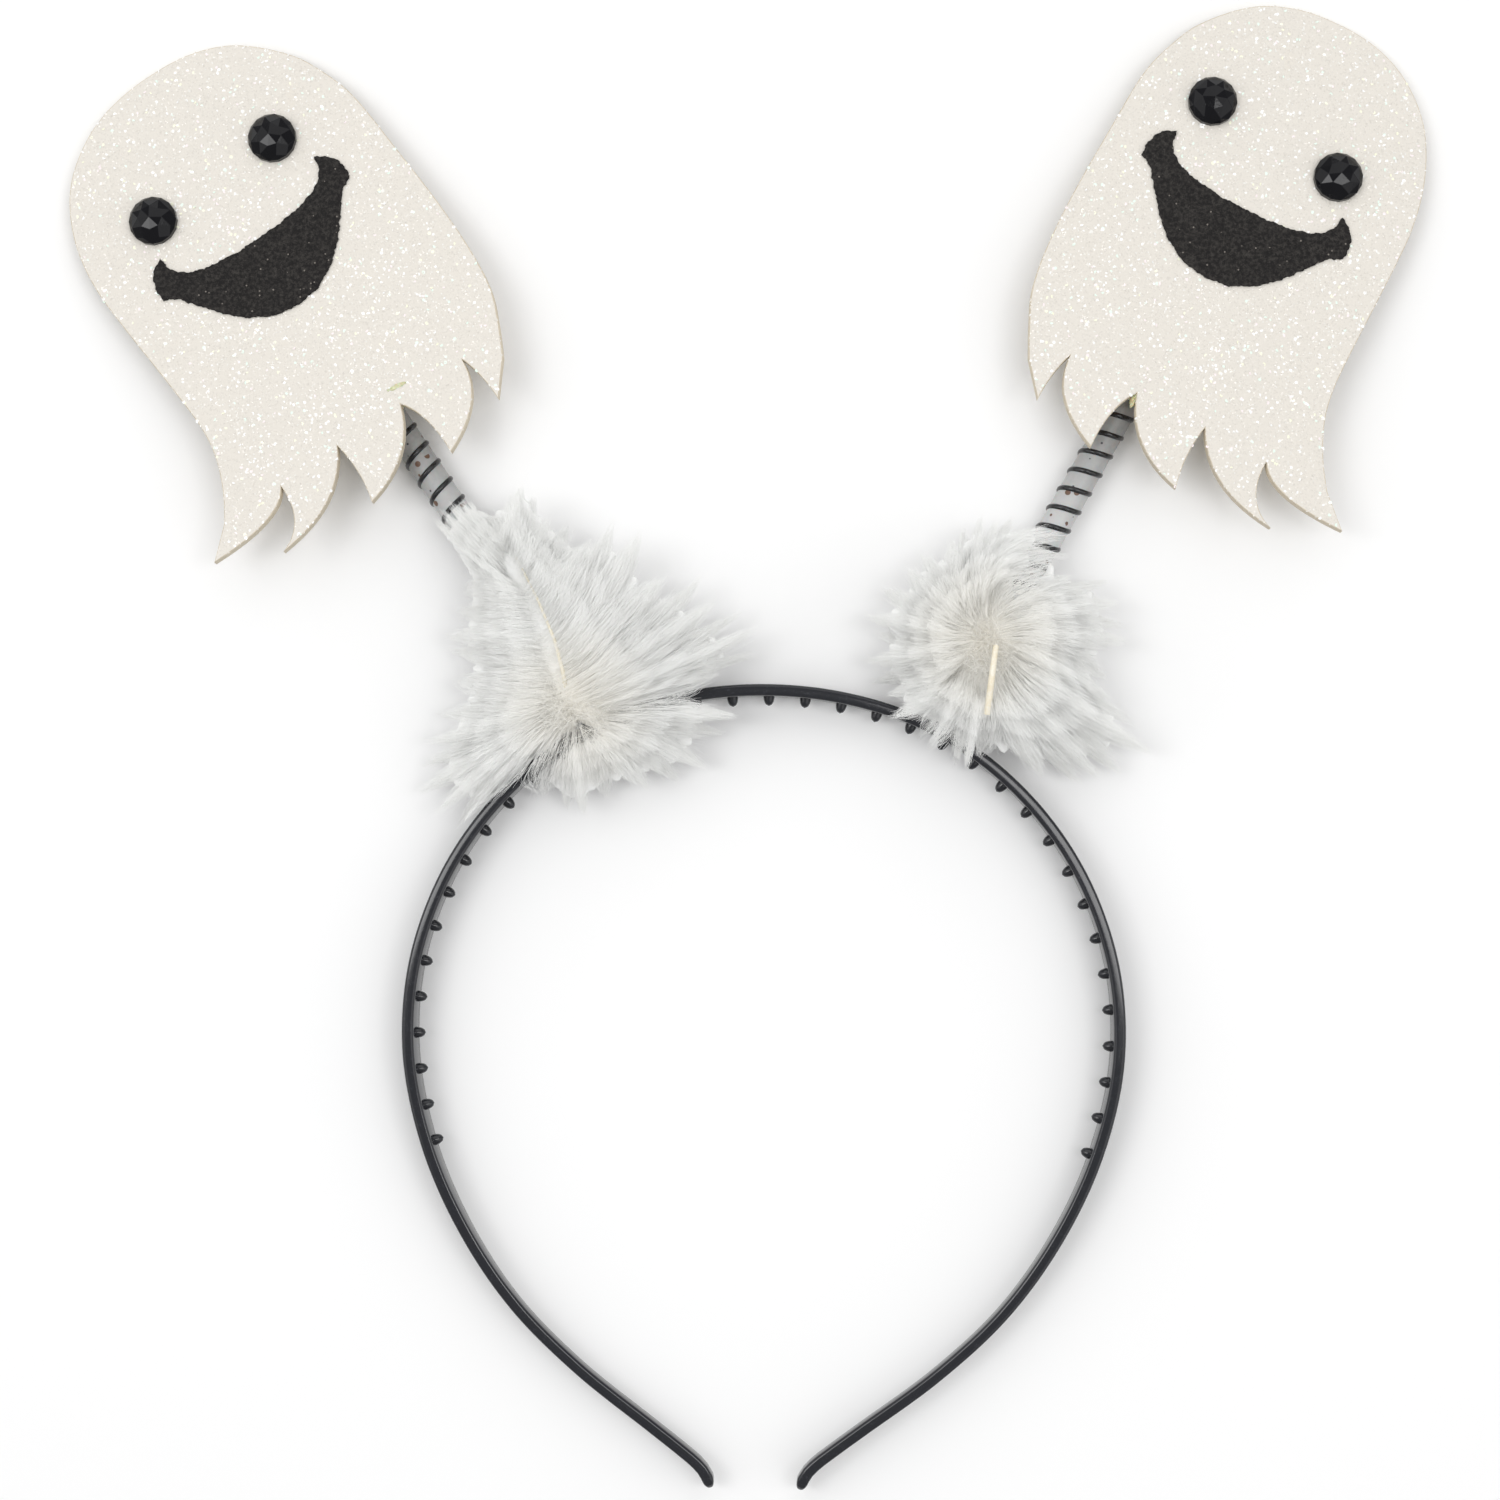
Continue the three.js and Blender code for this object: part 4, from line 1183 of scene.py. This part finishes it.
class BOPPER_OT_faces(bpy.types.Operator):
    """Stick a flocked smile and two faceted gems on each ghost"""
    bl_idname = "bopper.faces"
    bl_label = "Smiles and eyes"

    def execute(self, context):
        band = context.scene.bopper_band
        ghost = context.scene.bopper_ghost
        face = context.scene.bopper_face
        flock = flock_finish(face)
        polish = gem_finish(face)
        outline = smile_outline(face)
        for side in SIDES:
            place = Vector((-side.hand * side.face_across, side.face_up, 0)) * MM
            place.z = ghost.thickness + HAIR_GAP
            turn = Matrix.Rotation(-side.hand * math.radians(side.face_turn), 4, "Z")
            base = ghost_matrix(band, side) @ Matrix.Translation(place) @ turn
            middle = Vector((-side.hand * side.smile_across * MM, -SMILE_BELOW_EYES - SMILE_DEPTH / 2, 0))
            smile_turn = Matrix.Rotation(-side.hand * math.radians(side.smile_turn), 4, "Z")
            smile = slab(f"smile_{side.name}_flock", outline, face.smile_thickness, SMILE_EDGE, flock)
            placed(smile, base @ Matrix.Translation(middle) @ smile_turn)
            finished(smile, "black_flock", f"smile_{side.name}")
            for number, (spot, hand) in enumerate((("outer", side.hand), ("inner", -side.hand))):
                level = math.radians(side.hand * (side.turn + side.face_turn) - 90)
                eye = gem(f"eye_{side.name}_{spot}_gem", face, level + GEM_TURNS[number], polish)
                placed(eye, base @ Matrix.Translation((hand * EYE_SPACING / 2, 0, 0)))
                finished(eye, "gem", f"eye_{side.name}_{spot}")
        return {"FINISHED"}


# Glue

def lump(name, source, voxel, wobble, material):
    """A soft lump from a closed mesh: remeshed, smoothed and made uneven. The source object is used up."""
    remesh = source.modifiers.new("Remesh", "REMESH")
    remesh.mode = "VOXEL"
    remesh.voxel_size = voxel
    smooth = source.modifiers.new("Smooth", "SMOOTH")
    smooth.iterations = 8
    bpy.context.view_layer.update()
    depsgraph = bpy.context.evaluated_depsgraph_get()
    mesh = bpy.data.meshes.new_from_object(source.evaluated_get(depsgraph))
    bpy.data.objects.remove(source)
    mesh.name = name
    mesh.materials.clear()
    mesh.materials.append(material)
    normals = [vertex.normal.copy() for vertex in mesh.vertices]
    for vertex, normal in zip(mesh.vertices, normals):
        vertex.co -= normal * wobble * (0.6 + noise.noise(vertex.co / LUMP_WAVE))
    mesh.shade_smooth()
    piece = bpy.data.objects.new(name, mesh)
    bpy.context.scene.collection.objects.link(piece)
    return piece


def blob(name, place, size, turn, wobble, material):
    """A small uneven drop of glue lying on a ghost."""
    work = bmesh.new()
    bmesh.ops.create_icosphere(work, subdivisions=4, radius=1.0)
    for vertex in work.verts:
        bump = 1 + wobble * noise.noise(vertex.co * 1.7 + Vector(size) / MM)
        vertex.co = Vector((vertex.co.x * size[0], vertex.co.y * size[1], vertex.co.z * size[2])) * bump
    piece = as_object(name, [], material=material)
    work.to_mesh(piece.data)
    work.free()
    piece.data.shade_smooth()
    return placed(piece, place @ Matrix.Rotation(turn, 4, "Z"))


# How finely glue and down are remeshed, and how far their skins wander
GLUE_VOXEL = 0.4 * MM
GLUE_WOBBLE = 0.35 * MM
DOWN_VOXEL = 0.5 * MM
DOWN_WOBBLE = 0.6 * MM
LUMP_WAVE = 2.2 * MM

# Drops of glue that show, in a ghost's own frame: the number of its side, whether they lie on its front or
# in the notch behind it, place and radii in millimetres, turn in radians and how uneven they are
Drop = namedtuple("Drop", "name number front place size turn wobble")
DROPS = [
    Drop("glue_left_smear", 0, True, (1.2, 3.1, 0), (1.8, 0.42, 0.12), -0.13, 0.45),
    Drop("glue_right_bead", 1, False, (0.1, -0.9, 0.9), (0.5, 1.6, 0.75), 0.1, 0.4),
]


class BOPPER_OT_glue(bpy.types.Operator):
    """Lay the dried glue behind the ghosts and the drops that show on their fronts"""
    bl_idname = "bopper.glue"
    bl_label = "Glue"

    def execute(self, context):
        band = context.scene.bopper_band
        ghost = context.scene.bopper_ghost
        material = glue_finish()
        for side in SIDES:
            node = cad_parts[f"glue_{side.name}"]
            source = bpy.data.objects.new("glue_source", node.data.copy())
            context.scene.collection.objects.link(source)
            weld(source)
            pad = lump(f"glue_{side.name}_pad", source, GLUE_VOXEL, GLUE_WOBBLE, material)
            finished(pad, "glue", f"glue_{side.name}")
        for drop in DROPS:
            place = Vector(drop.place) * MM
            if drop.front:
                place.z += ghost.thickness
            size = tuple(radius * MM for radius in drop.size)
            matrix = ghost_matrix(band, SIDES[drop.number]) @ Matrix.Translation(place)
            finished(blob(drop.name, matrix, size, drop.turn, drop.wobble, material), "glue")
        return {"FINISHED"}


# The photograph's view

class PhotoView:
    """The camera's axes, to find where a pixel of the photograph lies."""

    def __init__(self, lens):
        self.forward = (CAMERA_TARGET - CAMERA_PLACE).normalized()
        level = self.forward.cross(Vector((0, 1, 0))).normalized()
        lift = level.cross(self.forward)
        self.right = level * math.cos(CAMERA_ROLL) + lift * math.sin(CAMERA_ROLL)
        self.up = lift * math.cos(CAMERA_ROLL) - level * math.sin(CAMERA_ROLL)
        self.focal = lens / SENSOR_WIDTH * PHOTO_PIXELS

    def point(self, px, py, height):
        """The point at a height that a pixel of the photograph shows."""
        half = PHOTO_PIXELS / 2
        ray = (self.forward + self.right * ((px - half) / self.focal) - self.up * ((py - half) / self.focal))
        return CAMERA_PLACE + ray * ((height - CAMERA_PLACE.z) / ray.z)

    def matrix(self):
        """The camera's place and turn."""
        axes = Matrix((self.right, self.up, -self.forward)).transposed().to_4x4()
        return Matrix.Translation(CAMERA_PLACE) @ axes


# Puffs

def sweep_tree(name, sides):
    """Skins the edges of a mesh with a flat ribbon, or a round thread where sides is 3 or more. The
    attribute width holds its width along the way and twist its turn."""
    group, tree, given = growth_tree(name, {"Material": "Material"})
    line = tree.add("GeometryNodeMeshToCurve", {"Mesh": given["Geometry"]}).outputs[0]
    twist = tree.add("GeometryNodeInputNamedAttribute", {"Name": "twist"}, data_type="FLOAT").outputs[0]
    turned = tree.add("GeometryNodeSetCurveTilt", {"Curve": line, "Tilt": twist}).outputs[0]
    if sides < 3:
        profile = tree.add("GeometryNodeCurvePrimitiveLine", {"Start": (-0.5, 0, 0), "End": (0.5, 0, 0)})
    else:
        profile = tree.add("GeometryNodeCurvePrimitiveCircle", {"Resolution": sides, "Radius": 0.5})
    width = tree.add("GeometryNodeInputNamedAttribute", {"Name": "width"}, data_type="FLOAT").outputs[0]
    skin = tree.add("GeometryNodeCurveToMesh", {"Curve": turned, "Profile Curve": profile.outputs[0],
                                                "Scale": width, "Fill Caps": sides >= 3}).outputs[0]
    end_tree(tree, skin, given["Material"], smooth=sides >= 3)
    return group


def swept(name, tree, material, points, width, twist, warmth):
    """An object skinned along strands. All arrays have a row for each strand and a column for each point."""
    strands, count = width.shape
    first = np.arange(strands)[:, None] * count + np.arange(count - 1)[None, :]
    edges = np.stack([first, first + 1], axis=2).reshape(-1, 2)
    source = as_object(name + "_source", points.reshape(-1, 3), edges=edges.tolist())
    for label, values in (("width", width), ("twist", twist), ("warmth", warmth)):
        attribute = source.data.attributes.new(label, "FLOAT", "POINT")
        attribute.data.foreach_set("value", values.astype(np.float32).ravel())
    return grown(name, source, tree, {"Material": material})


# Lumps of the mass of down under the barbs: their share of the way along the tufts, radius in millimetres
CoreLump = namedtuple("CoreLump", "share radius")
CORE_LUMPS = [CoreLump(0.03, 4), CoreLump(0.2, 3.7), CoreLump(0.38, 3.2), CoreLump(0.54, 2.6),
              CoreLump(0.68, 2), CoreLump(0.8, 1.3)]
CORE_LAYER = Layer("core", 0.95, 2.5, 0, 0, 0)
CORE_DEPTH = 0.1 * MM
WARM_REACH = 15 * MM

# Barbs: points along each, width along the way, the shares of them that stray past their tuft's end and
# that spring from its very root, how far along they start to gather, and how far they lie off, arch, wave
# and shake. Curls grow within an area round the middle
BARB_POINTS = 5
BARB_TAPER = np.array([0.6, 1.0, 0.95, 0.8, 0.35])
STRAYS = 0.1
FROM_ROOT = 0.14
GATHER_FROM = 0.64
BARB_SPREAD = 1.2 * MM
BARB_ARCH = 1.8 * MM
BARB_WAVE = 0.45 * MM
BARB_SHAKE = 0.07 * MM
CURL_AREA = 6.5 * MM

# How far down keeps from the band's centre line, over the band, from the spring's axis and over the floor,
# and how near a barb passes when it crosses a bare stretch
BAND_REACH = 2.6 * MM
OVER_BAND = 0.4 * MM
SPRING_REACH = 3.35 * MM
OVER_FLOOR = 0.15 * MM
BAND_CROSSING = 1.7 * MM
SPRING_CROSSING = 3 * MM
PUFF_STRETCH = 75 * MM


class PuffShape:
    """A puff's tufts in order round its middle, as arrays of roots, tips and the bows to their left."""

    def __init__(self, view, name):
        self.middle = np.array(view.point(*PUFF_MIDDLES[name], 15 * MM))
        rows = []
        for row in TUFTS[name]:
            root = view.point(row.root_px, row.root_py, row.root_z * MM)
            tip = view.point(row.tip_px, row.tip_py, row.tip_z * MM)
            rows.append((math.atan2(tip.y - self.middle[1], tip.x - self.middle[0]), root, tip, row.bow))
        rows.sort(key=lambda row: row[0])
        self.roots = np.array([row[1] for row in rows])
        self.tips = np.array([row[2] for row in rows])
        self.bows = np.array([row[3] for row in rows])

    def along_tuft(self, number, share, layer):
        """Points along tufts, one number and one row of shares for each barb."""
        root = self.roots[number][:, None]
        axis = (self.tips[number] - self.roots[number])[:, None] * layer.reach
        axis[:, :, 2] += layer.lift * MM
        aside = np.stack([-axis[:, :, 1], axis[:, :, 0], np.zeros_like(axis[:, :, 0])], axis=2)
        bend = (4 * share * (1 - share) * self.bows[number][:, None])[:, :, None]
        return root + axis * share[:, :, None] + aside * bend


def smooth_step(value):
    """0 below 0, 1 above 1 and a smooth way between."""
    value = np.clip(value, 0, 1)
    return value * value * (3 - 2 * value)


def barbs(rng, shape, layer, count):
    """Barbs of a layer: even inside, and gathered to the tufts' tips at its edge."""
    following = np.roll(shape.tips, -1, axis=0)
    gaps = np.linalg.norm(following - shape.tips, axis=1) + 1.5 * MM
    number = rng.choice(len(gaps), count, p=gaps / gaps.sum())
    between = rng.random(count)
    nearest = np.round(between)
    off = np.abs(between - nearest) * 2
    stray = rng.random(count) < STRAYS
    rooted = rng.random(count) < FROM_ROOT
    start = np.where(rooted, -0.1 + 0.16 * rng.random(count), 0.8 * rng.random(count) ** 0.65)
    end = (1 - layer.notch * off ** 0.8) * (1 - 0.24 * rng.random(count) ** 1.6)
    end = np.maximum(np.where(stray, end * 1.06, end), start + 0.2)
    share = start[:, None] + (end - start)[:, None] * np.linspace(0, 1, BARB_POINTS)[None, :]
    gather = layer.gather * np.where(stray, 0.35, 1)[:, None] * smooth_step(
        (share - GATHER_FROM) / (1 - GATHER_FROM))
    blend = (between[:, None] + (nearest - between)[:, None] * gather)[:, :, None]
    following_number = (number + 1) % len(gaps)
    points = (shape.along_tuft(number, share, layer) * (1 - blend)
              + shape.along_tuft(following_number, share, layer) * blend)
    within = np.clip(share, 0, 1)
    rise = rng.normal(0, BARB_SPREAD, count)[:, None] + BARB_ARCH * 4 * within * (1 - within)
    points[:, :, 2] += rise * (1 - within ** 2)
    phase = rng.uniform(0, math.tau, (count, 1, 2))
    wave = np.sin(phase + share[:, :, None] * rng.uniform(2, 7, (count, 1, 2)))
    points[:, :, :2] += wave * BARB_WAVE * np.clip(share, 0.2, 1)[:, :, None]
    return points + rng.normal(0, BARB_SHAKE, points.shape)


def curls(rng, shape, count):
    """Short barbs that arch over the middle of a puff."""
    turn = rng.uniform(0, math.tau, count)
    away = CURL_AREA * np.sqrt(rng.random(count))
    root = shape.middle + np.stack([away * np.cos(turn), away * np.sin(turn), np.full(count, 1 * MM)], axis=1)
    lean = turn + rng.normal(0, 0.9, count)
    length = rng.uniform(4, 8, count) * MM
    share = np.linspace(-0.5, 0.5, BARB_POINTS)[None, :]
    points = root[:, None, :] + np.zeros((1, BARB_POINTS, 1))
    points[:, :, 0] += np.cos(lean)[:, None] * share * length[:, None]
    points[:, :, 1] += np.sin(lean)[:, None] * share * length[:, None]
    points[:, :, 2] += rng.uniform(-1, 4.2, count)[:, None] * MM - 8 * share ** 2 * length[:, None] * 0.35
    return points


def away_from(points, samples):
    """How far points lie, seen from above, from the nearest of some samples."""
    away = np.full(points.shape[:-1], 1.0)
    for sample in samples:
        away = np.minimum(away, np.hypot(points[..., 0] - sample[0], points[..., 1] - sample[1]))
    return away


class Clearance:
    """Keeps barbs out of the band, its pegs, the spring and the floor, and off what stays bare."""

    def __init__(self, band, side):
        line = BandLine(band)
        near = np.abs(line.distances) < PUFF_STRETCH
        self.tree = KDTree(int(near.sum()))
        for number, point in enumerate(line.points[near]):
            self.tree.insert((point[0], point[1], 0), number)
        self.tree.balance()
        self.axis = SpringAxis(band, side)
        self.spring = OVER_SPRING[side.name]
        self.top = band.width + OVER_BAND
        self.stretches = []
        for row in BARE[side.name]:
            inside = (line.distances > row.start * MM) & (line.distances < row.end * MM)
            self.stretches.append((line.points[inside][::4, :2], row.kept))

    def from_axis(self, flat):
        """How far points lie along the spring's axis, and their offsets from it."""
        foot, along = np.array(self.axis.foot), np.array(self.axis.along)
        ahead = (flat - foot) @ along
        return ahead, flat - foot - ahead[:, None] * along

    def over_spring(self, flat, reach):
        """Which points lie over the spring, seen from above, where it stays bare."""
        ahead, offset = self.from_axis(flat)
        return (np.hypot(offset[:, 0], offset[:, 1]) < reach) & (ahead > self.spring.start * MM)

    def bare(self, points, reach):
        """Which points lie nearer than reach, seen from above, to what stays bare."""
        near = self.over_spring(points, reach)
        for samples, _ in self.stretches:
            near |= away_from(points, samples) < reach
        return near

    def thin(self, rng, points):
        """The barbs without most of those that cross a bare stretch of the band or the spring."""
        places = np.linspace(0, BARB_POINTS - 1, 4 * BARB_POINTS)
        low = np.minimum(places.astype(int), BARB_POINTS - 2)
        rest = (places - low)[None, :, None]
        fine = points[:, low] * (1 - rest) + points[:, low + 1] * rest
        over = self.over_spring(fine.reshape(-1, 3), SPRING_CROSSING).reshape(fine.shape[:2]).any(axis=1)
        crossings = [(away_from(fine, samples).min(axis=1) < BAND_CROSSING, kept)
                     for samples, kept in self.stretches]
        crossings.append((over, self.spring.kept))
        left = np.ones(len(points), bool)
        for crossing, kept in crossings:
            left &= ~crossing | (rng.random(len(points)) < kept)
        return points[left]

    def keep(self, points):
        """The points, moved out of what is solid."""
        flat = points.reshape(-1, 3)
        for number in np.nonzero(flat[:, 2] < self.top)[0]:
            _, _, distance = self.tree.find((flat[number, 0], flat[number, 1], 0))
            if distance < BAND_REACH:
                flat[number, 2] = self.top
        ahead, offset = self.from_axis(flat)
        distance = np.linalg.norm(offset, axis=1)
        inside = (distance < SPRING_REACH) & (ahead > 0)
        push = offset[inside] / np.maximum(distance[inside], 0.001 * MM)[:, None]
        push[:, 2] = np.maximum(push[:, 2], 0.2)
        push /= np.linalg.norm(push, axis=1, keepdims=True)
        flat[inside] += push * SPRING_REACH - offset[inside]
        flat[:, 2] = np.maximum(flat[:, 2], OVER_FLOOR)
        return flat.reshape(points.shape)


class BOPPER_OT_puffs(bpy.types.Operator):
    """Grow the two feather puffs, each of outer plumes, inner down and bare quills"""
    bl_idname = "bopper.puffs"
    bl_label = "Feather puffs"

    def execute(self, context):
        band = context.scene.bopper_band
        puff = context.scene.bopper_puff
        view = PhotoView(context.scene.bopper_stage.lens)
        down = down_finish("marabou barbs", puff, puff.see_through)
        mass = down_finish("marabou mass", puff, 0.2 * puff.see_through)
        horn = quill_finish()
        ribbon = sweep_tree("Barbs", 1)
        thread = sweep_tree("Quills", 8)
        for number, side in enumerate(SIDES):
            rng = np.random.default_rng(SEED + number)
            shape = PuffShape(view, side.name)
            clear = Clearance(band, side)
            self.core(side, shape, clear, mass)
            for label in ("plumes", "down"):
                made = [barbs(rng, shape, layer, int(puff.barbs * layer.share))
                        for layer in LAYERS if layer.piece == label]
                if label == "down":
                    made.append(curls(rng, shape, puff.curls))
                points = clear.keep(clear.thin(rng, np.concatenate(made)))
                self.piece(rng, f"puff_{side.name}_{label}", side, shape, points, puff, ribbon, down)
        for label, row in QUILLS.items():
            self.quill(view, label, row, thread, horn)
        return {"FINISHED"}

    def core(self, side, shape, clear, material):
        """The mass of down under the barbs: round lumps along the tufts, grown into one soft body."""
        work = bmesh.new()
        count = len(shape.tips)
        number = np.repeat(np.arange(count), 2)
        between = np.tile([0.0, 0.5], count)[:, None, None]
        for row in CORE_LUMPS:
            share = np.full((2 * count, 1), row.share)
            centres = (shape.along_tuft(number, share, CORE_LAYER) * (1 - between)
                       + shape.along_tuft((number + 1) % count, share, CORE_LAYER) * between)[:, 0]
            for centre in centres[~clear.bare(centres, (1.2 + 0.75 * row.radius) * MM)]:
                size = Vector((1, 1, 0.6)) * row.radius * MM
                place = Matrix.Translation(Vector(centre) - UP * (size.z + CORE_DEPTH))
                bmesh.ops.create_icosphere(work, subdivisions=2, radius=1.0,
                                           matrix=place @ Matrix.Diagonal(size).to_4x4())
        source = as_object("core_source", [])
        work.to_mesh(source.data)
        work.free()
        piece = lump(f"puff_{side.name}_core", source, DOWN_VOXEL, DOWN_WOBBLE, material)
        points = np.array([vertex.co for vertex in piece.data.vertices])
        away = np.hypot(*(points - shape.middle)[:, :2].T)
        warmth = piece.data.attributes.new("warmth", "FLOAT", "POINT")
        warmth.data.foreach_set("value", np.clip(1 - away / WARM_REACH, 0, 1).astype(np.float32))
        piece.data.vertices.foreach_set("co", clear.keep(points).ravel())
        piece.data.update()
        finished(piece, "marabou", f"puff_{side.name}")

    def piece(self, rng, name, side, shape, points, puff, tree, material):
        """One object of barbs, each with its width, turn and warmth."""
        count = len(points)
        away = np.hypot(points[:, :, 0] - shape.middle[0], points[:, :, 1] - shape.middle[1])
        warmth = np.clip(1 - away / WARM_REACH, 0, 1) * rng.uniform(0.4, 1, count)[:, None]
        width = puff.barb_width * BARB_TAPER * rng.uniform(0.6, 1.3, count)[:, None]
        twist = rng.uniform(-0.5, 0.5, count)[:, None]
        twist = twist + np.linspace(0, 1, BARB_POINTS) * rng.normal(0, 0.3, (count, 1))
        finished(swept(name, tree, material, points, width, twist, warmth), "marabou", f"puff_{side.name}")

    def quill(self, view, label, row, tree, material):
        """One bare quill through the places in its row."""
        points = np.array([view.point(px, py, z * MM) for (px, py), z in zip(row.points, row.heights)])
        places = np.linspace(0, len(points) - 1, 40)
        fine = np.stack([np.interp(places, np.arange(len(points)), points[:, k]) for k in range(3)], axis=1)
        width = np.linspace(row.start_width, row.end_width, len(fine)) * MM
        flat = np.zeros((1, len(fine)))
        piece = swept(f"puff_{row.side}_{label}", tree, material, fine[None], width[None], flat, flat)
        finished(piece, "marabou", f"puff_{row.side}")


# Stage

FLOOR_HALF = 1.5
FLOOR_DROP = 0.05 * MM

# Lamps that point at the origin: the setting that holds their power, their sides and place in metres
Lamp = namedtuple("Lamp", "name power width length place")
LAMPS = [
    Lamp("Soft left", "soft_power", 1.2, 1.2, (-0.8, 0.1, 0.72)),
    Lamp("Soft right", "soft_power", 1.2, 1.2, (0.8, -0.25, 0.72)),
    Lamp("Soft back", "soft_power", 1.2, 1.2, (0.05, 0.85, 0.7)),
    Lamp("Glint left", "glint_power", 0.2, 0.5, (-0.42, 0.03, 0.93)),
    Lamp("Glint right", "glint_power", 0.2, 0.5, (0.29, 0, 0.93)),
]


class BOPPER_OT_stage(bpy.types.Operator):
    """Set the pale table top, the soft lamps and the camera"""
    bl_idname = "bopper.stage"
    bl_label = "Studio"

    def execute(self, context):
        stage = context.scene.bopper_stage
        scene = context.scene
        view = PhotoView(stage.lens)
        camera = bpy.data.objects.new("Camera", bpy.data.cameras.new("Camera"))
        camera.data.lens = stage.lens
        camera.data.sensor_width = SENSOR_WIDTH
        camera.data.clip_start = 0.01
        camera.matrix_world = view.matrix()
        scene.collection.objects.link(camera)
        scene.camera = camera
        corners = [(-FLOOR_HALF, -FLOOR_HALF), (FLOOR_HALF, -FLOOR_HALF), (FLOOR_HALF, FLOOR_HALF),
                   (-FLOOR_HALF, FLOOR_HALF)]
        floor = as_object("table_top", [(x, y, -FLOOR_DROP) for x, y in corners], [(0, 1, 2, 3)],
                          material=floor_finish(stage))
        for lamp in LAMPS:
            self.lamp(lamp, getattr(stage, lamp.power))
        world = bpy.data.worlds.new("Studio")
        world.use_nodes = True
        background = world.node_tree.nodes["Background"]
        background.inputs["Color"].default_value = (1, 1, 1, 1)
        background.inputs["Strength"].default_value = stage.world_light
        scene.world = world
        scene.view_settings.view_transform = "Standard"
        return {"FINISHED"}

    def lamp(self, row, power):
        """One lamp of the table."""
        light = bpy.data.lights.new(row.name, "AREA")
        light.energy = power
        light.shape = "RECTANGLE"
        light.size = row.width
        light.size_y = row.length
        place = Vector(row.place)
        lamp = bpy.data.objects.new(row.name, light)
        lamp.matrix_world = Matrix.Translation(place) @ (-place).to_track_quat("-Z", "Y").to_matrix().to_4x4()
        bpy.context.scene.collection.objects.link(lamp)


# Panel

class BOPPER_PT_panel(bpy.types.Panel):
    """The bopper's pieces and their sizes"""
    bl_idname = "BOPPER_PT_panel"
    bl_label = "Ghost head bopper"
    bl_space_type = "VIEW_3D"
    bl_region_type = "UI"
    bl_category = "Bopper"

    def draw(self, context):
        for operator in OPERATORS:
            self.layout.operator(operator.bl_idname)
        for label in GROUPS:
            box = self.layout.box()
            settings = getattr(context.scene, label)
            for key in settings.__annotations__:
                box.prop(settings, key)


OPERATORS = [BOPPER_OT_band, BOPPER_OT_springs, BOPPER_OT_ghosts, BOPPER_OT_faces, BOPPER_OT_glue,
             BOPPER_OT_puffs, BOPPER_OT_stage]
GROUPS = {"bopper_band": BopperBand, "bopper_spring": BopperSpring, "bopper_ghost": BopperGhost,
          "bopper_face": BopperFace, "bopper_puff": BopperPuff, "bopper_stage": BopperStage}
CLASSES = [*GROUPS.values(), *OPERATORS, BOPPER_PT_panel]


def register():
    for kind in CLASSES:
        bpy.utils.register_class(kind)
    for label, kind in GROUPS.items():
        setattr(bpy.types.Scene, label, PointerProperty(type=kind))


def unregister():
    for label in GROUPS:
        delattr(bpy.types.Scene, label)
    for kind in reversed(CLASSES):
        bpy.utils.unregister_class(kind)


def main():
    register()
    bpy.ops.bopper.band()
    bpy.ops.bopper.springs()
    bpy.ops.bopper.ghosts()
    bpy.ops.bopper.faces()
    bpy.ops.bopper.glue()
    bpy.ops.bopper.puffs()
    bpy.ops.bopper.stage()


if __name__ == "__main__":
    main()
